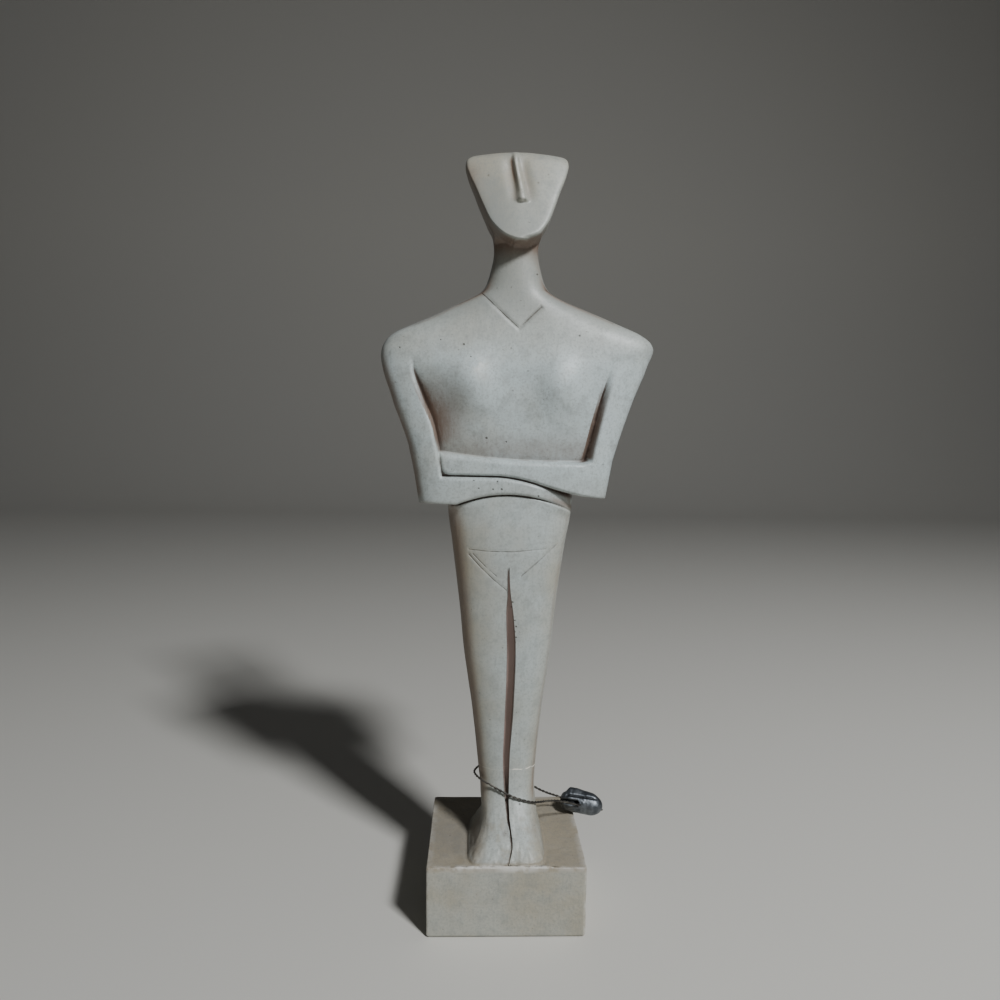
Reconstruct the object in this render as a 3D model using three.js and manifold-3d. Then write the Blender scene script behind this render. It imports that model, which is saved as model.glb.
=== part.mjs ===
// A cast souvenir of a Cycladic folded-arm figurine, standing on its own block, with a lead seal wired round the
// ankles. Millimetres, +Z up. The figure faces -Y, and the origin is the middle of the block's underside.
import * as THREE from "three";
import { mergeVertices } from "three/addons/utils/BufferGeometryUtils.js";
import Module from "manifold-3d";

const wasm = await Module();
wasm.setup();

// Driving sizes
const figureHeight = 272; // from the block's top to the crown
const plinthWidth = 61.2;
const plinthDepth = 57.6;
const plinthHeight = 28;
const plinthTopChamfer = 0.5;
const plinthFootRound = 1.3; // the rounded lower edge
const plinthCornerChamfer = 0.9;
const toeSetback = 0.8; // from the block's front face to the toes
const figureShift = 1.0; // the figure stands this far to the right of the block's middle
const grooveWidth = 1.2; // the carved lines at the neck and belly
const sealLength = 18.4;
const sealRadius = 4.4;
const sealEnd = 4.2; // length of each rounded end
const sealFoldRadius = 2.2; // the folded ridge along the seal's top
const sealFoldLength = 12;
const sealFoldOffset = [-0.9, 1.0, 2.7]; // from the seal's middle, along its own axes
const sealSlotWidth = 2.4;
const sealSlotLength = 7.6;
const sealSlotDepth = 1.5;
const sealSlotOffset = [-4.8, -sealRadius, 0.5]; // from the seal's middle, along its own axes
const sealTurn = 12; // degrees, its right end towards the front
const sealDip = 6.5; // degrees, its right end downwards
const sealAlong = 3.2; // the seal's middle lies this far beyond the block's right side
const sealBack = 13.8; // and this far behind the block's middle
const wireDiameter = 0.9;
const wireSides = 8;
const wireSteps = 56;
const gap = 0.3; // between separate pieces that touch

// The figure's own proportions are hundredths of its height
const share = figureHeight / 100;
const lowerArmEdge = 50.8; // level of the lower forearm's underside
const forearmSeam = 53.3; // level where the two forearms meet
const upperArmEdge = 56.5; // level of the upper forearm's top
const armpit = 71.5;
const leftArmAt = -0.7; // the inner edge of the arm at the viewer's left, as a share of the half width
const rightArmAt = 0.69; // and of the other arm
const chinLevel = 86.9;
const chinHalf = 2.9; // half the chin's width one hundredth above its lowest point
const chinPower = 2.4; // how square the chin is: 2 is a parabola
const chinReach = 5.8; // how far the chin stands out
const faceLean = 0.39; // how far the face falls back for each step up
const faceRim = 1.1; // width of the face's rounded rim
const crownLevel = 100;
const crownRounding = 1.6; // height of the rounding up to the crown
const noseTip = 92.1; // level of the nose's tip
const columnMiddle = 0.1; // the column at the edge of the cleft and of the nose
const stepHalf = 0.04; // half the height of a sharp ledge

// A smooth curve through [level, value] stations that never overshoots them (Fritsch-Carlson slopes).
function profile(stations) {
  const xs = stations.map(([x]) => x);
  const ys = stations.map(([, y]) => y);
  const rise = xs.slice(1).map((x, i) => (ys[i + 1] - ys[i]) / (x - xs[i]));
  const slope = ys.map((_, i) => {
    if (i === 0) return rise[0];
    if (i === ys.length - 1) return rise[i - 1];
    const [a, b] = [rise[i - 1], rise[i]];
    return a * b <= 0 ? 0 : (2 * a * b) / (a + b);
  });
  return (x) => {
    if (x <= xs[0]) return ys[0];
    if (x >= xs.at(-1)) return ys.at(-1);
    const i = xs.findIndex((_, k) => x < xs[k + 1]);
    const h = xs[i + 1] - xs[i];
    const u = (x - xs[i]) / h;
    const ease = u * u * (3 - 2 * u);
    return (
      ys[i] * (1 - ease) + ys[i + 1] * ease +
      h * u * (1 - u) * ((1 - u) * slope[i] - u * slope[i + 1])
    );
  };
}

const clamp01 = (u) => Math.min(1, Math.max(0, u));
const smoothstep = (a, b, x) => {
  const u = clamp01((x - a) / (b - a));
  return u * u * (3 - 2 * u);
};
const mix = (a, b, u) => a + (b - a) * u;
const bump = (x, width) => Math.exp(-((x / width) ** 2));
// An edge rounded over a distance: 1 - drop at the edge, rising to 1 along a quarter circle.
const roundedEdge = (distance, radius, drop) =>
  1 - drop * (1 - Math.sqrt(1 - (1 - clamp01(distance / radius)) ** 2));
const smoothMax = (a, b, soft) => {
  const h = clamp01(0.5 + (a - b) / (2 * soft));
  return mix(b, a, h) + soft * h * (1 - h);
};

// Half widths below the elbows (feet, legs, belly) and above them (arms, shoulders, neck, head)
const legHalf = profile([
  [0, 5.75], [1.5, 5.6], [4, 4.95], [7.2, 4.35], [9.7, 4.34], [12.7, 4.56], [16.7, 4.95], [21, 5.42],
  [24.3, 5.9], [28.5, 6.48], [35.3, 7.15], [40.7, 7.8], [45.4, 8.42], [49.3, 8.92], [54, 9.15],
]);
const bodyHalf = profile([
  [50, 13.0], [52, 13.5], [55, 14.3], [58.7, 15.35], [62, 16.35], [65.8, 17.6], [69.3, 18.85], [72, 19.4],
  [73.2, 18.95], [74.4, 17.45], [75.6, 14.85], [77.8, 9.9], [80.3, 4.9], [81.3, 4.2], [83.2, 3.6], [84.9, 3.25],
  [86.1, 3.22], [87.6, 3.43], [89.25, 4.2], [91.5, 5.16], [94.1, 6.15], [96.6, 7.02], [98.2, 7.3],
  [99.1, 7.2], [99.6, 6.85], [100, 6.1],
]);
// How far the middle of the outline sways to the figure's left (the viewer's right)
const sway = profile([
  [0, -0.5], [4, -0.35], [12, -0.2], [35, -0.45], [50, -0.38], [60, -0.28], [67, -0.1], [70, 0.05], [73, 0.6],
  [76, 0.6], [79, 0.1], [100, 0],
]);
// Front and back of the body, measured from the plane y = 0, and where the outline lies in depth
const toeReach = (plinthDepth / 2 - toeSetback) / share;
const legFront = profile([
  [0, toeReach], [0.4, toeReach - 0.05], [0.9, toeReach - 0.5], [2, 8.9], [3.6, 7.2], [5.4, 5.6], [7.4, 4.3],
  [9.7, 3.6], [13, 3.35], [18, 3.4], [24, 3.8], [30, 4.1], [36, 4.4], [42, 4.75], [46, 4.85], [49.5, 4.65],
  [52, 4.6],
]);
const torsoFront = profile([
  [56, 3.2], [57.5, 3.55], [59.5, 3.95], [62, 4.3], [65, 4.6], [69, 4.6], [73, 4.05], [76, 3.45], [79, 3.0],
  [82, 2.8], [86, 2.75], [88, 2.5], [91, 1.2], [95, 0.2], [100, -0.6],
]);
const armFront = profile([[50, 5.2], [55, 5.25], [60, 5.1], [66, 4.8], [72, 4.2]]);
const backReach = profile([
  [0, 4.2], [3, 3.9], [7, 3.6], [9.7, 3.5], [14, 3.9], [20, 4.6], [26, 4.6], [31, 4.0], [36, 4.4], [42, 5.1], [46, 5.0],
  [51, 4.2], [56, 3.9], [62, 3.6], [68, 3.8], [73, 3.9], [76, 3.6], [80, 3.0], [84, 2.7], [87, 2.9], [91, 3.8],
  [95, 4.3], [98, 4.2], [100, 3.4],
]);
const outlineDepth = profile([[0, -3.2], [3, -2], [6, -0.6], [9.7, 0], [84, 0], [88, 0.2], [94, 1.0], [100, 1.7]]);
// How square the section is: 2 is an ellipse, more is a rounded slab
const squareness = profile([[0, 6], [1.2, 5], [4, 3.2], [9.7, 2.5], [20, 2.7], [35, 3], [49, 3], [51, 4], [72, 4], [77, 2.6], [82, 2.1], [87, 2.2], [91, 3.6], [100, 4]]);
// The cleft between the legs: where it runs, how wide and how deep
const cleftDrift = profile([[2, 0], [5, -0.06], [12, -0.04], [20, 0.05], [28, 0.08], [36, 0.02], [41, -0.01], [60, 0], [91, 0.12], [98, -0.03]]);
const cleftHalf = profile([[1, 0.045], [7, 0.08], [12, 0.11], [20, 0.12], [28, 0.1], [36, 0.06], [41, 0.03], [60, 0.05], [91, 0.16], [98, 0.1]]);
const cleftDepth = profile([[0, 0.3], [1, 0.5], [5, 0.8], [12, 1.1], [20, 1.4], [30, 1.2], [37, 0.75], [40.5, 0.3], [41.3, 0]]);

// Heights of the forearms' edges at a place x across the body
const lowerArmLine = (x) => {
  const arch = 51.6 - 0.029 * (x + 0.7) ** 2;
  return x < 0 ? Math.max(50.05, arch) : Math.max(48.9, arch);
};
const seamLine = (x) => 54.1 - 3.1 * smoothstep(-2.5, 13, x);
const upperArmLine = (x) => 56.35 + 0.0045 * Math.min(0, x - 6) ** 2;
const crownArch = (x) => -0.5 * ((x - 0.5) / 6.2) ** 2;

// A level follows the forearms' lines near the arms and the crown's arch at the top, and is flat elsewhere.
function heightAt(level, x) {
  const keys = [
    [45, 0], [lowerArmEdge, lowerArmLine(x) - lowerArmEdge], [forearmSeam, seamLine(x) - forearmSeam],
    [upperArmEdge, upperArmLine(x) - upperArmEdge], [64, 0], [94, 0], [100, crownArch(x)],
  ];
  if (level <= keys[0][0]) return level;
  const i = Math.min(keys.length - 2, keys.findIndex((_, k) => k + 1 >= keys.length || level < keys[k + 1][0]));
  const u = (level - keys[i][0]) / (keys[i + 1][0] - keys[i][0]);
  return level + mix(keys[i][1], keys[i + 1][1], clamp01(u));
}

// The elbow's ledge lies lower on the figure's right arm than on its left, whose forearm is the upper one.
function halfWidth(level, t) {
  const ledge = t < 0 ? lowerArmEdge : forearmSeam;
  return level < ledge ? legHalf(level) : bodyHalf(level);
}

// The arm at the viewer's left slants outwards above the elbow.
const armDrift = (level) => 0.055 * smoothstep(60, 69, level);
const leftEdge = (level) => leftArmAt - armDrift(level);

// Columns close to the middle follow the cleft and the nose, so that t = columnMiddle is always their edge, and
// those at the left arm's inner edge follow its slant.
function acrossAt(level, t) {
  const drift = cleftDrift(level);
  const half = cleftHalf(level);
  const size = Math.abs(t);
  const nearMiddle = 1 - smoothstep(columnMiddle, 0.45, size);
  const spread = size <= columnMiddle ? (size / columnMiddle) * half : size + (half - columnMiddle) * nearMiddle;
  const slant = armDrift(level) * bump(t - leftArmAt, 0.12);
  return Math.sign(t) * spread + drift * nearMiddle - slant;
}

// Above the armpits the arms run into the shoulders, and their edges fade.
const intoShoulder = (reach, level) => mix(reach, torsoFront(level) - 0.15, smoothstep(67.5, 72.5, level));

// The lower forearm and its upper arm, on the figure's right: an L whose inner corner is the hand of the other arm.
function lowerArm(x, z, t, half, level) {
  if (level < lowerArmEdge || (level > forearmSeam && t > leftEdge(level))) return -9;
  const above = z - lowerArmLine(x);
  const inside = smoothMax((leftEdge(level) - t) * half, seamLine(x) - z, 0.35);
  const reach = armFront(level) - 0.9 * smoothstep(0.2, 1, t);
  return intoShoulder(reach * roundedEdge(above, 0.6, 0.1) * roundedEdge(inside, 0.7, 0.13), level);
}

// The upper forearm and its upper arm, on the figure's left. Beside the chest its inner side slopes to a slit.
function upperArm(x, z, t, half, level) {
  if (level < forearmSeam || t < leftEdge(level) || (level > upperArmEdge && t < rightArmAt)) return -9;
  const above = z - seamLine(x);
  const inside = smoothMax((t - rightArmAt) * half, upperArmLine(x) - z, 0.45);
  const fromHand = -smoothMax(-(t - leftEdge(level)) * half, -above, 0.7);
  const besideChest = smoothstep(57, 59, z) * smoothstep(7, 9, x);
  const innerSide = roundedEdge(inside, mix(0.9, 1.4, besideChest), mix(0.16, 0.55, besideChest));
  const reach = armFront(level) + 0.12 - 0.45 * smoothstep(0.1, leftArmAt, t);
  return intoShoulder(reach * innerSide * roundedEdge(above, 0.5, 0.1) * roundedEdge(fromHand, 0.6, 0.12), level);
}

// The chest falls away softly to a hollow beside the arm at the viewer's left, and stays full up to a slit beside
// the other one.
function torso(x, t, level) {
  const chest = torsoFront(level) + 0.95 * (bump(x + 6, 3.2) + bump(x - 6.8, 3.2)) * bump(level - 68.4, 4.2);
  const floor = t < 0 ? 0.6 : 1;
  const side = clamp01(t < 0 ? t / (leftEdge(level) - 0.02) : t / (rightArmAt + 0.02));
  const fall = t < 0 ? Math.pow(1 - side ** 2, 0.55) : Math.pow(1 - side ** 12, 1 / 12);
  return mix(floor + (chest - floor) * fall, chest, smoothstep(67, armpit, level));
}

// The face is a shield that leans back, with a rounded rim and a broad round chin. The neck runs up behind it.
function headFront(x, level) {
  const offMiddle = Math.abs(x - 0.75 * smoothstep(96, 88, level)) / chinHalf;
  const slope = (chinPower / chinHalf) * offMiddle ** (chinPower - 1);
  const fromChin = (level - chinLevel - offMiddle ** chinPower) / Math.sqrt(1 + slope * slope);
  const fromSide = bodyHalf(level) - Math.abs(x - sway(level));
  const inside = -smoothMax(-fromChin, -fromSide, 0.5);
  const plane = chinReach - faceLean * (level - chinLevel);
  const rim = Math.sqrt(Math.max(0, 1 - (1 - clamp01(inside / faceRim)) ** 2));
  const behind = torsoFront(level);
  return mix(behind, Math.max(plane, behind), rim);
}

// A long narrow ridge from the crown down, broadest and highest at its tip, with a soft hollow on each side
function nose(x, level) {
  if (level <= chinLevel) return 0;
  const up = (level - noseTip) / (crownLevel - noseTip);
  const middle = mix(0.68, -0.28, smoothstep(-0.06, 0.87, up));
  const half = mix(0.42, 0.3, smoothstep(0.03, 0.37, up));
  const height = mix(1.15, 0.25, smoothstep(0.11, 1, up)) * smoothstep(-0.045, 0.03, up);
  const beside = smoothstep(-0.08, 0.18, up) * smoothstep(0.94, 0.56, up);
  const hollows = 0.22 * bump(x - middle + 0.8, 0.6) + 0.12 * bump(x - middle - 0.85, 0.6);
  return height * Math.exp(-(Math.abs((x - middle) / half) ** 2.2)) - hollows * beside;
}

const crownRound = (level) => {
  const up = clamp01(1 - (crownLevel - level) / crownRounding);
  return Math.sqrt(Math.max(0.004, 1 - up ** 2));
};
const sideCurve = (t, power) => Math.pow(Math.max(0, 1 - Math.abs(t) ** power), 1 / power);

// A point of the figure's skin: level runs up the body, t across it from -1 to 1, on the front or the back.
function skin(level, t, isFront) {
  const place = Math.abs(t) >= 1 ? t : acrossAt(level, t);
  const half = halfWidth(level, t);
  const x = sway(level) + place * half;
  const z = heightAt(level, x);
  const round = sideCurve(place, squareness(level));
  const middle = outlineDepth(level);
  let y;
  if (isFront) {
    let reach;
    if (level < lowerArmEdge) reach = legFront(level) - (cleftDepth(level) * (Math.abs(t) <= 0.075 ? 1 : 0));
    else if (level < chinLevel - 4)
      reach = Math.max(level > upperArmEdge ? torso(x, place, level) : -9, lowerArm(x, z, place, half, level), upperArm(x, z, place, half, level));
    else reach = headFront(x, level) + nose(x, level);
    y = middle - (reach + middle) * round * crownRound(level);
  } else {
    const spine = 0.22 * bump(x, 0.7) * smoothstep(51, 56, level) * smoothstep(76, 71, level);
    const cleft = 0.55 * bump(x, 0.55) * smoothstep(1, 5, level) * smoothstep(43, 39, level);
    y = middle + (backReach(level) - middle - spine - cleft) * round * crownRound(level);
  }
  return [figureShift + x * share, y * share, plinthHeight + z * share];
}

// A point on a block's outline, with t as above. Columns past sideColumn lie on the block's sides.
const faceColumn = 0.86;
const sideColumn = 0.9;
function blockOutline(t, isFront, inset) {
  const size = Math.abs(t);
  const [w, d, c] = [plinthWidth / 2 - inset, plinthDepth / 2 - inset, plinthCornerChamfer];
  const along = clamp01((size - sideColumn) / (1 - sideColumn));
  const x = size <= faceColumn ? (size / faceColumn) * (w - c) : mix(w - c, w, clamp01((size - faceColumn) / (sideColumn - faceColumn)));
  const y = size <= faceColumn ? d : size <= sideColumn ? mix(d, d - c, (size - faceColumn) / (sideColumn - faceColumn)) : (d - c) * (1 - along);
  return [Math.sign(t) * x, isFront ? -y : y];
}

// Rows run up from the block's underside to the crown, as functions of a column.
function figurineRows() {
  const rows = [];
  const block = (inset, z) => rows.push((t, isFront) => [...blockOutline(t, isFront, inset), z]);
  for (const turn of [0, 45, 90]) {
    const a = (turn * Math.PI) / 180;
    block(plinthFootRound * (1 - Math.sin(a)), plinthFootRound * (1 - Math.cos(a)));
  }
  block(0, plinthHeight - plinthTopChamfer);
  block(plinthTopChamfer, plinthHeight);
  const levels = [
    0, 0.3, 0.9, 1.8, 3.2, 5, 7, 9.5, 12.5, 16, 20, 24, 28, 32, 36, 39.5, 41.4, 45, 48.5, 50,
    lowerArmEdge - stepHalf, lowerArmEdge + stepHalf, 51.2, 51.8, 52.5, 53.0, forearmSeam - stepHalf,
    forearmSeam + stepHalf, 53.8, 54.5, 55.4, 56.1, upperArmEdge - stepHalf, upperArmEdge + stepHalf, 58.5,
    61, 63.5, 66, 68.5, 70.3, 71.8, 73, 74, 75.2, 76.6, 78, 79.3, 80.4, 81.5, 83.4, 85.4, 86.6, chinLevel, chinLevel + 0.15,
    chinLevel + 0.45, chinLevel + 0.9, chinLevel + 1.6, 89.5, 90.7, noseTip - 0.4, noseTip, noseTip + 0.6, 94.5,
    96.5, 98, 98.9, 99.6, crownLevel,
  ];
  for (const level of levels) rows.push((t, isFront) => skin(level, t, isFront));
  return rows;
}

const frontColumns = (armAt) => [
  0, 0.045, 0.07, columnMiddle, 0.19, 0.3, 0.42, 0.54, 0.63, armAt - 0.008, armAt + 0.008, 0.74, 0.8, faceColumn,
  sideColumn, 0.94, 0.975, 1,
];
const backColumns = [0, columnMiddle, 0.34, 0.58, 0.76, faceColumn, sideColumn, 0.955];

// One closed surface from rows and columns, with a fan at each end.
function loft(rows, columns) {
  const points = rows.flatMap((row) => columns.map(([t, isFront]) => row(t, isFront)));
  const count = columns.length;
  const faces = [];
  for (let r = 0; r + 1 < rows.length; r++)
    for (let c = 0; c < count; c++) {
      const [a, b] = [r * count + c, r * count + ((c + 1) % count)];
      faces.push(a, b, b + count, a, b + count, a + count);
    }
  const middleOf = (first) => {
    const ring = points.slice(first, first + count);
    return [0, 1, 2].map((k) => ring.reduce((sum, p) => sum + p[k], 0) / count);
  };
  const last = (rows.length - 1) * count;
  const [below, above] = [points.length, points.length + 1];
  points.push(middleOf(0), middleOf(last));
  for (let c = 0; c < count; c++) {
    const next = (c + 1) % count;
    faces.push(below, next, c, above, last + c, last + next);
  }
  const geometry = new THREE.BufferGeometry();
  geometry.setAttribute("position", new THREE.Float32BufferAttribute(points.flat(), 3));
  geometry.setIndex(faces);
  return geometry;
}

function figurineColumns() {
  const left = frontColumns(-leftArmAt).slice(1).map((t) => -t).reverse();
  const front = [...left, ...frontColumns(rightArmAt)].map((t) => [t, true]);
  const inner = backColumns.slice(1);
  const back = [...inner.slice().reverse(), 0, ...inner.map((t) => -t)].map((t) => [t, false]);
  return [...front, ...back];
}

function toSolid(geometry) {
  const plain = geometry.clone();
  plain.deleteAttribute("normal");
  plain.deleteAttribute("uv");
  const merged = mergeVertices(plain, 1e-4);
  return new wasm.Manifold(
    new wasm.Mesh({
      numProp: 3,
      vertProperties: merged.attributes.position.array,
      triVerts: new Uint32Array(merged.index.array),
    }),
  );
}

function toGeometry(solid) {
  const mesh = solid.getMesh();
  const geometry = new THREE.BufferGeometry();
  geometry.setAttribute("position", new THREE.BufferAttribute(mesh.vertProperties.slice(), 3));
  geometry.setIndex(new THREE.BufferAttribute(mesh.triVerts.slice(), 1));
  geometry.computeVertexNormals();
  return geometry;
}

const group = new THREE.Group();
function addPiece(name, geometry, material, parent = group) {
  const mesh = new THREE.Mesh(geometry, material);
  mesh.name = name;
  parent.add(mesh);
  return mesh;
}

// Where the front of the figure's skin is at a place across it, on a level that runs straight.
function onFront(x, level) {
  let [low, high] = [-1, 1];
  const goal = figureShift + x * share;
  for (let step = 0; step < 40; step++) {
    const t = (low + high) / 2;
    if (skin(level, t, true)[0] < goal) low = t;
    else high = t;
  }
  return new THREE.Vector3(...skin(level, low, true));
}

function disc(radius, sides) {
  const outline = new THREE.Shape();
  for (let k = 0; k < sides; k++) {
    const a = (k * 2 * Math.PI) / sides;
    if (k === 0) outline.moveTo(radius, 0);
    else outline.lineTo(radius * Math.cos(a), radius * Math.sin(a));
  }
  return outline;
}
const tube = (points, radius, steps, sides) =>
  new THREE.ExtrudeGeometry(disc(radius, sides), {
    extrudePath: new THREE.CatmullRomCurve3(points, false, "centripetal"),
    steps,
    bevelEnabled: false,
  });

// Carved lines, as [x, level] stations across the front: the neckline's V, the belly line and the folds below it
const carvedLines = [
  { stations: [[-4.5, 79.4], [-2.9, 77.9], [-1.2, 76.3], [0.47, 74.8]], depth: 0.7 },
  { stations: [[0.3, 74.7], [1.3, 75.6], [2.4, 76.7], [3.6, 77.8]], depth: 0.7 },
  { stations: [[-6.1, 43.8], [-3, 43.5], [0.2, 43.5], [4.6, 43.9]], depth: 0.35 },
  { stations: [[-6.2, 43.0], [-4.5, 41.2], [-2.6, 39.4], [-0.8, 38.0]], depth: 0.35 },
  { stations: [[6.4, 44.4], [4.6, 42.8], [2.9, 41.4], [1.3, 40.1]], depth: 0.35 },
];
function carvedLine({ stations, depth }) {
  const radius = (grooveWidth ** 2 / 4 + depth ** 2) / (2 * depth);
  const points = stations.map(([x, level]) => onFront(x, level).add(new THREE.Vector3(0, depth - radius, 0)));
  return toSolid(tube(points, radius, 4, 8));
}

function figurine() {
  let body = toSolid(loft(figurineRows(), figurineColumns()));
  for (const line of carvedLines) body = body.subtract(carvedLine(line));
  return body;
}

// The wire, from inside the seal's left end, once round the ankles, along the seal's slot, in at its hole and
// out by its right end. The points were chosen by hand.
const wireRoute = [
  [28.0, 14.7, 33.4], [24.0, 14.9, 34.7], [17.6, 11.2, 38.6], [12.9, 9.4, 41.8], [8.6, 10.4, 44.8],
  [0.4, 11.0, 48.9], [-8.9, 8.4, 52.1], [-12.6, 1.5, 52.7], [-12.1, -4.0, 53.2], [-9.4, -8.4, 52.9],
  [-6.4, -10.4, 52.1], [-3.2, -11.6, 50.7], [0.3, -12.6, 49.2], [4.5, -12.9, 47.5], [9.7, -11.7, 45.5],
  [13.6, -7.5, 43.4], [17.0, -2.9, 41.5], [22.0, 2.3, 39.0], [26.6, 5.8, 36.6], [31.0, 8.6, 34.2],
  [34.6, 10.8, 32.6], [39.0, 11.9, 31.0], [42.9, 12.2, 29.9],
].map((point) => new THREE.Vector3(...point));
const wireInSealFrom = 18; // from this point of the route on, the wire is in the seal

// A round bar with rounded ends along X
function capsule(length, radius, end) {
  const outline = [];
  for (let k = 0; k <= 5; k++) {
    const a = (k * Math.PI) / 10;
    outline.push(new THREE.Vector2(k === 0 ? 0 : radius * Math.sin(a), -length / 2 + end * (1 - Math.cos(a))));
  }
  for (let k = 5; k >= 0; k--) {
    const a = (k * Math.PI) / 10;
    outline.push(new THREE.Vector2(k === 0 ? 0 : radius * Math.sin(a), length / 2 - end * (1 - Math.cos(a))));
  }
  return new THREE.LatheGeometry(outline, 14).rotateZ(-Math.PI / 2);
}

// The seal's own axes: X along it, Y to the back, Z up, from its middle
function sealPlace() {
  const dip = (sealDip * Math.PI) / 180;
  const lift = sealRadius / Math.cos(dip) + gap - Math.tan(dip) * sealAlong;
  return new THREE.Matrix4()
    .makeRotationFromEuler(new THREE.Euler(0, dip, (-sealTurn * Math.PI) / 180, "ZYX"))
    .setPosition(plinthWidth / 2 + sealAlong, sealBack, plinthHeight + lift);
}
function leadSeal() {
  const fold = capsule(sealFoldLength, sealFoldRadius, sealFoldRadius).translate(...sealFoldOffset);
  const slot = new THREE.BoxGeometry(sealSlotLength, 2 * sealSlotDepth, sealSlotWidth)
    .translate(...sealSlotOffset);
  const place = sealPlace();
  let seal = toSolid(capsule(sealLength, sealRadius, sealEnd).applyMatrix4(place));
  seal = seal.add(toSolid(fold.applyMatrix4(place))).subtract(toSolid(slot.applyMatrix4(place)));
  const bore = wireDiameter / 2 + gap;
  const [first, second] = wireRoute;
  const inward = first.clone().sub(second).setLength(2 * gap);
  seal = seal.subtract(toSolid(tube([first.clone().add(inward), first, second], bore, 4, 10)));
  return seal.subtract(toSolid(wireBore(bore)));
}
function wireBore(radius) {
  const inside = wireRoute.slice(wireInSealFrom);
  const onward = inside.at(-1).clone().sub(inside.at(-2)).setLength(2);
  return tube([...inside, inside.at(-1).clone().add(onward)], radius, 14, 10);
}

const plaster = new THREE.MeshStandardMaterial({ color: 0xb9b6aa, roughness: 0.7, metalness: 0 });
const lead = new THREE.MeshStandardMaterial({ color: 0x6f7274, roughness: 0.45, metalness: 0.9 });
const wireMetal = new THREE.MeshStandardMaterial({ color: 0x4c4b48, roughness: 0.5, metalness: 0.9 });

addPiece("figurine", toGeometry(figurine()), plaster);
addPiece("lead_seal", toGeometry(leadSeal()), lead);
addPiece("seal_wire", toGeometry(toSolid(tube(wireRoute, wireDiameter / 2, wireSteps, wireSides))), wireMetal);

export default group;
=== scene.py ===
"""A cast figurine with folded arms on its own block, and the lead seal that is wired round its ankles.

Everything is in metres, +Z up. The figure faces -Y, and the origin is the middle of the block's underside.
"""

import math

import bpy
import numpy as np
from mathutils import Matrix, Vector


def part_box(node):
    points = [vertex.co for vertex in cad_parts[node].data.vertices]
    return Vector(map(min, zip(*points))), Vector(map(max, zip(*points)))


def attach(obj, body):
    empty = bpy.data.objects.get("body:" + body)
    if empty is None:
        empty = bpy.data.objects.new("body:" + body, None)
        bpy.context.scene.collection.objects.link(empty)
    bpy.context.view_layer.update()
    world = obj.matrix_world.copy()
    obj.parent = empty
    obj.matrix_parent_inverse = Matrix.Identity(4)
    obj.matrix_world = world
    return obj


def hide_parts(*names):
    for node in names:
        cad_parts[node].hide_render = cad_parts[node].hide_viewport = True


bl_info = {
    "name": "Folded-arm figurine",
    "version": (1, 0, 0),
    "blender": (4, 5, 0),
    "location": "View3D > Sidebar > Figurine",
    "description": "Cast stone figurine on its block, with a lead seal wired round the ankles",
    "category": "Object",
}

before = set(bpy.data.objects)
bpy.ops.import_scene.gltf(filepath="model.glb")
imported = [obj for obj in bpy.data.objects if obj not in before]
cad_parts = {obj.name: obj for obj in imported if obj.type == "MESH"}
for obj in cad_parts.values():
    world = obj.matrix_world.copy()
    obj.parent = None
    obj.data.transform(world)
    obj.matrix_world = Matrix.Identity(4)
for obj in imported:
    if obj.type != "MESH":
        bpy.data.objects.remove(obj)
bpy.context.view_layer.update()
CAD_LOW, CAD_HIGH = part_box("figurine")
MM = 0.001


# Curves and small helpers

def profile(stations):
    """A smooth curve through [place, value] stations that never overshoots them.

    Each stretch is a cubic, and its slope at a station is the harmonic mean of the chords on both sides, or
    nothing where the curve turns round.
    """
    xs, ys = np.array(stations, float).T
    rise = np.diff(ys) / np.diff(xs)
    onward = rise[:-1] * rise[1:] > 0
    total = np.where(onward, rise[:-1] + rise[1:], 1.0)
    inner = np.where(onward, 2 * rise[:-1] * rise[1:] / total, 0.0)
    slope = np.concatenate([rise[:1], inner, rise[-1:]])

    def at(x):
        """The curve's value at x, held at its ends."""
        x = np.clip(x, xs[0], xs[-1])
        i = np.clip(np.searchsorted(xs, x, side="right") - 1, 0, len(xs) - 2)
        h = xs[i + 1] - xs[i]
        u = (x - xs[i]) / h
        ease = u * u * (3 - 2 * u)
        bend = h * u * (1 - u) * ((1 - u) * slope[i] - u * slope[i + 1])
        return ys[i] * (1 - ease) + ys[i + 1] * ease + bend

    return at


def clamp01(u):
    """The number itself, held between 0 and 1."""
    return np.clip(u, 0.0, 1.0)


def smoothstep(a, b, x):
    """0 at a, 1 at b, and u * u * (3 - 2 * u) for the share u of the way between them."""
    u = clamp01((x - a) / (b - a))
    return u * u * (3 - 2 * u)


def mix(a, b, u):
    """The share u of the way from a to b."""
    return a + (b - a) * u


def bump(x, width):
    """A bell, the exponential of -(x / width)^2: 1 at nothing and almost nothing past twice the width."""
    return np.exp(-((x / width) ** 2))


def rounded_edge(distance, radius, drop):
    """1 - drop at an edge, rising to 1 along a quarter circle over the radius."""
    return 1 - drop * (1 - np.sqrt(1 - (1 - clamp01(distance / radius)) ** 2))


def smooth_max(a, b, soft):
    """The larger of two values, rounded over by a parabola where they are within soft of each other."""
    h = clamp01(0.5 + (a - b) / (2 * soft))
    return mix(b, a, h) + soft * h * (1 - h)


def spread(low, high, count, density):
    """Places from low to high at equal steps of the density's running sum, so closer where it is larger."""
    fine = np.linspace(low, high, 8001)
    sums = np.concatenate([[0], np.cumsum((density(fine)[1:] + density(fine)[:-1]) / 2)])
    return np.interp(np.linspace(0, sums[-1], count), sums, fine)


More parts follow.
